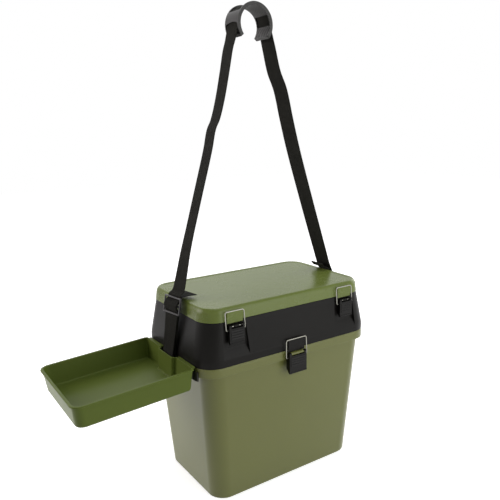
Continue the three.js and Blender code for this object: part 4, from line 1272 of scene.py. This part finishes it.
def put_webbing(name, node, stations, strap, body):
    """Makes a strip of webbing with rounded selvages. Its UV is in widths, along the strip and across it."""
    width, thick = strap.width * METRE, strap.thickness * METRE
    edge = thick / 2
    bulge = edge * 0.8  # how far a selvage rounds
    section = []
    for turn in (1, -1):
        for angle in (-90, -45, 0, 45, 90):
            a = turn * (width / 2 - bulge) + turn * bulge * math.cos(math.radians(angle))
            section.append((a, turn * edge * math.sin(math.radians(angle))))
        for share in (0.5, 0, -0.5):
            section.append((turn * share * (width - thick), turn * edge))
    bm = bmesh.new()
    draw_section(bm, section, stations)
    order = bm.verts.layers.int["order"]
    travel = bm.verts.layers.float["travel"]
    uv = bm.loops.layers.uv.new("UVMap")
    for face in bm.faces:
        for loop in face.loops:
            across = section[loop.vert[order]][0] / width + 0.5
            loop[uv].uv = (loop.vert[travel] / width, across)
    return put(f"{name}_webbing", bm, "webbing", body, [node], sharp=60)


def make_loop(strand, strap):
    """The webbing under a leg: its free tail, down through the slider, round the bar and back up."""
    turn = BAR_RADIUS + LOOP_CLEAR + strap.thickness * METRE / 2
    way_round = []
    for angle in range(-180, 1, 15):
        angle = math.radians(angle)
        way_round.append((strand.side * (BAR_X + turn * math.cos(angle)), BAR_Z + turn * math.sin(angle)))
    run = [
        *smooth_run(near_slider(strand, strand.tail), 3),
        *reversed(weave_run(strand, FAR, NEAR)),
        *way_round,
        *weave_run(strand, NEAR, FAR),
    ]

    def lean(z):
        return strand.y * min(max((z - BAR_Z) / (strand.height - BAR_Z), 0), 1)

    def share_at(z):
        return smooth_share(z, BAR_Z + TURN_FROM, strand.height - TURN_TO)

    stations = turn_stations(webbing_stations(run, lean), strand, share_at)
    name = f"strap_loop_{strand.label}"
    return put_webbing(name, name, stations, strap, "bucket_body")


def make_leg(strand, strap):
    """A leg of the strap, from its slider up to the grip, turned a little about its own length."""
    start = slider_point(strand, -NEAR, SLIDER_END + STRETCH_GAP)
    out, up = grip_point(strand.side * GRIP_TOP_END)
    end = (out, up - STRETCH_GAP)
    places = [(GRIP.x + strand.side * out, GRIP.z - down) for out, down in strand.high]
    run = smooth_run([start, *near_slider(strand, strand.low), *places, end], 5)

    def lean(z):
        return strand.y + (GRIP.y - strand.y) * (z - start[1]) / (end[1] - start[1])

    def twist(share):
        return strand.twist * math.sin(math.pi * share) ** 0.7

    def share_at(z):
        return 1 - smooth_share(z, start[1], start[1] + UNTURN)

    stations = turn_stations(webbing_stations(run, lean, twist), strand, share_at)
    name = f"strap_leg_{strand.label}"
    piece = put_webbing(name, name, stations, strap, None)
    bend = max(start[1], LID_TOP + SWING_CLEAR) / METRE
    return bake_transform(piece, "bucket_body", "strap_body", (0, 0, bend), (0, 0, bend + SWING_BEND))


def grip_point(angle):
    """Where the webbing lies in the grip, at an angle in degrees from straight up, as (x, z)."""
    angle = math.radians(angle)
    return GRIP.x + GRIP_SEAT * math.sin(angle), GRIP.z + GRIP_SEAT * math.cos(angle)


def make_top_webbing(strap):
    """The stretch of webbing over the grip's back."""
    run = [grip_point(GRIP_TOP_END * (step / TOP_STEPS - 1)) for step in range(2 * TOP_STEPS + 1)]
    stations = webbing_stations(run, lambda z: GRIP.y)
    return put_webbing("strap_top", "strap_webbing_top", stations, strap, "strap_body")


def sector(bm, inner, outer, angles, half, steps, round_by=0.0):
    """A block bent round the grip's middle, between two angles from straight up."""
    low, high = sorted(math.radians(angle) for angle in angles)
    section = [(inner, -half), (outer, -half), (outer, half), (inner, half)]
    face = bm.faces.new([bm.verts.new((r * math.sin(low), y, r * math.cos(low))) for r, y in section])
    spin(bm, [face], (0, 1, 0), high - low, steps)
    bmesh.ops.recalc_face_normals(bm, faces=bm.faces)
    if round_by:
        sharp = [edge for edge in bm.edges if edge.is_manifold and edge.calc_face_angle(0) > math.radians(50)]
        soften(bm, sharp, round_by, 3)


def at_grip_end(edge):
    """Whether an edge is a corner of the grip's two end faces that runs outwards."""
    first, second = (vert.co for vert in edge.verts)
    outwards = abs((first - second).length - (GRIP_OUTER - GRIP_BORE)) < 0.1
    at_side = abs(first.y - second.y) < 0.01 and abs(first.y) > GRIP_HALF - 1
    return outwards and at_side and abs(abs(math.degrees(math.atan2(first.x, first.z))) - GRIP_END) < 0.5


def make_grip():
    """The shoulder grip: a C with a channel for the webbing, and a bridge over it on each side."""
    bm = bmesh.new()
    sector(bm, GRIP_BORE, GRIP_OUTER, (-GRIP_END, GRIP_END), GRIP_HALF, 64)
    soften(bm, [edge for edge in bm.edges if at_grip_end(edge)], 3.2, 4)
    soften(bm, [edge for edge in bm.edges if edge.calc_face_angle(0) > math.radians(40)], 1.1, 3)
    channel = bmesh.new()
    ends = (-GRIP_CHANNEL_END, GRIP_CHANNEL_END)
    sector(channel, GRIP_CHANNEL, GRIP_OUTER + 3, ends, GRIP_CHANNEL_HALF, 60)
    bm = combine(bm, channel, "DIFFERENCE")
    for side in (-1, 1):
        window = bmesh.new()
        ends = [side * angle for angle in GRIP_WINDOW]
        sector(window, GRIP_BORE - 3, GRIP_UNDER, ends, GRIP_CHANNEL_HALF, 17)
        bm = combine(bm, window, "DIFFERENCE")
        bridge = bmesh.new()
        ends = [side * angle for angle in GRIP_BRIDGE]
        sector(bridge, GRIP_UNDER, GRIP_OUTER, ends, GRIP_HALF - 0.1, 18, 0.5)
        arch = bmesh.new()
        wide, deep = GRIP_ARCH
        add_rod(arch, "x", wide, -7, 7, (0, 0, 0), 0, 32)
        bmesh.ops.scale(arch, vec=(1, 1, deep / wide), verts=arch.verts)
        angle = math.radians(side * GRIP_BRIDGE[1])
        middle = (GRIP_OUTER - 1) * Vector((math.sin(angle), 0, math.cos(angle)))
        bmesh.ops.translate(arch, vec=middle, verts=arch.verts)
        bridge = combine(bridge, arch, "DIFFERENCE")
        bm = combine(bm, bridge, "UNION")
    place = Matrix.Translation(GRIP)
    return put("shoulder_grip_moulding", bm, "grip", "strap_body", ["shoulder_grip"], place)


# Places that the webbing runs through on each side. The tail is (inwards, up) from the slider's middle, as is
# the leg's low run, and its high run is (out, down) from the grip's middle.
LEFT_PLACES = (
    [(42.8, 13.9), (30.8, 15.3), (18.8, 16), (12.8, 16.2), (9.6, 15.9)],
    [(6.6, 18), (9.8, 20.6), (14.6, 23.5), (21.7, 42.2)],
    [
        (156.4, 402.2),
        (128.5, 312.7),
        (100.4, 223.4),
        (91, 187.7),
        (81.7, 169.9),
        (69.9, 134.2),
        (56.5, 80.9),
        (48.3, 45.5),
        (42.1, 27.7),
    ],
)
RIGHT_PLACES = (
    [(41, 51), (36, 44.5), (29, 41), (21.4, 37.6), (17.2, 31.5), (14.8, 25), (12, 19.5), (9.4, 16.7)],
    [(7.4, 19.9), (10.9, 25.1), (13.8, 29.9), (23, 48.8), (32.9, 77.2)],
    [(139, 336.2), (104.2, 230.9), (87, 171.1), (71.5, 113.4), (56.6, 81), (45.5, 40.1), (40.8, 22.7)],
)


# Operators


class AddBucket(bpy.types.Operator):
    """Adds the moulded bucket with its rim, front lug and rear knuckles"""

    bl_idname = "seat_box.add_bucket"
    bl_label = "Bucket"

    def execute(self, context):
        make_bucket(context.scene.seat_box_sizes)
        return {"FINISHED"}


class AddCase(bpy.types.Operator):
    """Adds the tackle case with its compartments and latch recesses"""

    bl_idname = "seat_box.add_case"
    bl_label = "Tackle case"

    def execute(self, context):
        make_case(context.scene.seat_box_sizes)
        return {"FINISHED"}


class AddLid(bpy.types.Operator):
    """Adds the seat lid with its sunk panel and latch keepers"""

    bl_idname = "seat_box.add_lid"
    bl_label = "Seat lid"

    def execute(self, context):
        make_lid(context.scene.seat_box_sizes)
        return {"FINISHED"}


class AddTray(bpy.types.Operator):
    """Adds the side tray that hooks on the rail"""

    bl_idname = "seat_box.add_tray"
    bl_label = "Side tray"

    def execute(self, context):
        make_tray(context.scene.seat_box_sizes)
        return {"FINISHED"}


class AddHinges(bpy.types.Operator):
    """Adds the four pins of the rear hinges"""

    bl_idname = "seat_box.add_hinges"
    bl_label = "Hinge pins"

    def execute(self, context):
        for label, side in SIDES.items():
            make_hinge_pin(f"case_hinge_pin_{label}", side * HINGE_X, CASE_HINGE, "bucket_body")
            make_hinge_pin(f"lid_hinge_pin_{label}", side * HINGE_X, LID_HINGE, "case_body")
        return {"FINISHED"}


class AddLatches(bpy.types.Operator):
    """Adds the three draw latches: lever, wire bail and pin"""

    bl_idname = "seat_box.add_latches"
    bl_label = "Latches"

    def execute(self, context):
        radius = context.scene.seat_box_sizes.wire * METRE
        for latch in LATCHES:
            make_lever(latch)
            make_bail(latch, radius)
            make_latch_pin(latch)
        return {"FINISHED"}


class AddBrackets(bpy.types.Operator):
    """Adds the two side brackets with their rivets and strap bars"""

    bl_idname = "seat_box.add_brackets"
    bl_label = "Side brackets"

    def execute(self, context):
        for label, side in SIDES.items():
            make_bracket(label, side)
            make_strap_bar(label, side)
            for number, y in enumerate(RIVETS_Y, 1):
                make_rivet(label, side, number, y)
        return {"FINISHED"}


class AddStrap(bpy.types.Operator):
    """Adds the carrying strap: sliders, webbing and shoulder grip"""

    bl_idname = "seat_box.add_strap"
    bl_label = "Carrying strap"

    def execute(self, context):
        strap = context.scene.seat_box_strap
        strands = (
            Strand("left", -1, *LEFT_SLIDER, strap.slider_turn, strap.left_twist, *LEFT_PLACES),
            Strand("right", 1, *RIGHT_SLIDER, 0, strap.right_twist, *RIGHT_PLACES),
        )
        for strand in strands:
            make_slider(strand)
        for make in (make_loop, make_leg):
            for strand in strands:
                make(strand, strap)
        make_top_webbing(strap)
        make_grip()
        return {"FINISHED"}


def rays_to_backdrop(nodes, path):
    """1 for rays from the camera and in gloss and glass, and 0 for the light on the object."""
    kinds = ("Is Camera Ray", "Is Glossy Ray", "Is Transmission Ray")
    camera, glossy, through = (nodes.value(path.outputs[kind]) for kind in kinds)
    return (camera + glossy + through).above(0.5, 0.1)


def paper(nodes, near):
    """A pale matt surface that shows as plain white to the camera and in gloss and glass. Close to the box it
    glows less to the camera, so that the box's shadow shows on it."""
    path = nodes.node("ShaderNodeLightPath")
    matt = nodes.node("ShaderNodeBsdfDiffuse", Color=(0.8, 0.8, 0.8, 1))
    place = nodes.node("ShaderNodeTexCoord").outputs["Object"]
    far = nodes.node("ShaderNodeVectorMath", {"operation": "LENGTH"}, [place])
    distance = nodes.value(far.outputs["Value"]).above(0.85, 0.7)
    strength = 1 - (1 - distance) * nodes.value(path.outputs["Is Camera Ray"]) * (1 - near)
    glow = nodes.node("ShaderNodeEmission", Color=(1, 1, 1, 1), Strength=strength)
    both = nodes.node("ShaderNodeAddShader", None, [matt.outputs[0], glow.outputs[0]])
    seen = rays_to_backdrop(nodes, path)
    mix = nodes.node("ShaderNodeMixShader", None, [seen, matt.outputs[0], both.outputs[0]])
    nodes.node("ShaderNodeOutputMaterial", Surface=mix.outputs[0])


def add_floor():
    bm = bmesh.new()
    bmesh.ops.create_grid(bm, x_segments=1, y_segments=1, size=6)
    mesh = bpy.data.meshes.new("floor")
    bm.to_mesh(mesh)
    bm.free()
    floor = bpy.data.objects.new("floor", mesh)
    bpy.context.scene.collection.objects.link(floor)
    surface = bpy.data.materials.new("floor_paper")
    surface.use_nodes = True
    paper(Nodes(surface.node_tree), 0.7)
    mesh.materials.append(surface)


def add_surroundings(studio):
    """White to the camera and in gloss and glass, a little darker overhead in gloss, and dim as a light."""
    world = bpy.data.worlds.new("studio")
    bpy.context.scene.world = world
    world.use_nodes = True
    nodes = Nodes(world.node_tree)
    path = nodes.node("ShaderNodeLightPath")
    way = nodes.node("ShaderNodeTexCoord").outputs["Generated"]
    up = nodes.value(nodes.node("ShaderNodeSeparateXYZ", Vector=way).outputs[2])
    overhead = up.above(0.62, 0.3) * nodes.value(path.outputs["Is Glossy Ray"])
    seen = rays_to_backdrop(nodes, path)
    strength = seen * (1 - studio.ambient) * (1 - overhead * 0.6) + studio.ambient
    back = nodes.node("ShaderNodeBackground", Color=(1, 1, 1, 1), Strength=strength)
    nodes.node("ShaderNodeOutputWorld", Surface=back.outputs[0])


LIT_POINT = Vector((0, 0, 0.25))
LAMPS = {
    # name: (place, size, the studio's power, colour)
    "light_above": ((0.1, -0.25, 1.9), 1.4, "above", (1, 1, 1)),
    "light_above_behind": ((0.3, 1.5, 1.8), 1.4, "above", (1, 1, 1)),
    "light_front": ((0.7, -1.9, 0.75), 1.8, "front", (1, 1, 1)),
    "light_right": ((1.9, 0.3, 1.1), 1.6, "right", (1, 1, 1)),
    "light_left": ((-1.6, 1.0, 1.0), 1.2, "left", (1, 0.93, 0.97)),
}


def add_lamps(studio):
    for name, (place, size, power, colour) in LAMPS.items():
        light = bpy.data.lights.new(name, "AREA")
        light.shape = "SQUARE"
        light.size = size
        light.energy = getattr(studio, power)
        light.color = colour
        lamp = bpy.data.objects.new(name, light)
        bpy.context.scene.collection.objects.link(lamp)
        lamp.location = place
        lamp.rotation_euler = (LIT_POINT - Vector(place)).to_track_quat("-Z", "Y").to_euler()


def add_camera(studio):
    """The camera, turned about its line of sight by the studio's roll."""
    camera = bpy.data.cameras.new("camera")
    camera.sensor_width = 36
    camera.lens = studio.lens
    viewer = bpy.data.objects.new("camera", camera)
    bpy.context.scene.collection.objects.link(viewer)
    place = Vector(studio.camera_place)
    back = (place - Vector(studio.aim)).normalized()
    right = Vector((0, 0, 1)).cross(back).normalized()
    up = back.cross(right)
    right, up = (
        right * math.cos(studio.roll) + up * math.sin(studio.roll),
        up * math.cos(studio.roll) - right * math.sin(studio.roll),
    )
    viewer.matrix_world = Matrix.Translation(place) @ Matrix((right, up, back)).transposed().to_4x4()
    bpy.context.scene.camera = viewer


class AddStage(bpy.types.Operator):
    """Adds the floor, the lights and the camera"""

    bl_idname = "seat_box.add_stage"
    bl_label = "Stage"

    def execute(self, context):
        studio = context.scene.seat_box_studio
        add_floor()
        add_surroundings(studio)
        add_lamps(studio)
        add_camera(studio)
        context.scene.view_settings.view_transform = "Standard"
        return {"FINISHED"}


class SeatBoxPanel(bpy.types.Panel):
    """Lists the seat box's pieces, sizes and colours"""

    bl_idname = "VIEW3D_PT_seat_box"
    bl_label = "Seat Box"
    bl_space_type = "VIEW_3D"
    bl_region_type = "UI"
    bl_category = "Seat Box"

    def draw(self, context):
        for operator in OPERATORS:
            self.layout.operator(operator.bl_idname)
        for name, group in GROUPS.items():
            box = self.layout.box()
            for prop in group.__annotations__:
                box.prop(getattr(context.scene, name), prop)


OPERATORS = (
    AddBucket,
    AddCase,
    AddLid,
    AddTray,
    AddHinges,
    AddLatches,
    AddBrackets,
    AddStrap,
    AddStage,
)
GROUPS = {
    "seat_box_sizes": SeatBoxSizes,
    "seat_box_strap": SeatBoxStrap,
    "seat_box_colours": SeatBoxColours,
    "seat_box_studio": SeatBoxStudio,
}


def register():
    for cls in (*GROUPS.values(), *OPERATORS, SeatBoxPanel):
        bpy.utils.register_class(cls)
    for name, group in GROUPS.items():
        setattr(bpy.types.Scene, name, PointerProperty(type=group))


def unregister():
    for name in GROUPS:
        delattr(bpy.types.Scene, name)
    for cls in reversed((*GROUPS.values(), *OPERATORS, SeatBoxPanel)):
        bpy.utils.unregister_class(cls)


def main():
    register()
    make_materials(bpy.context.scene)
    for operator in OPERATORS:
        family, name = operator.bl_idname.split(".")
        getattr(getattr(bpy.ops, family), name)()


if __name__ == "__main__":
    main()
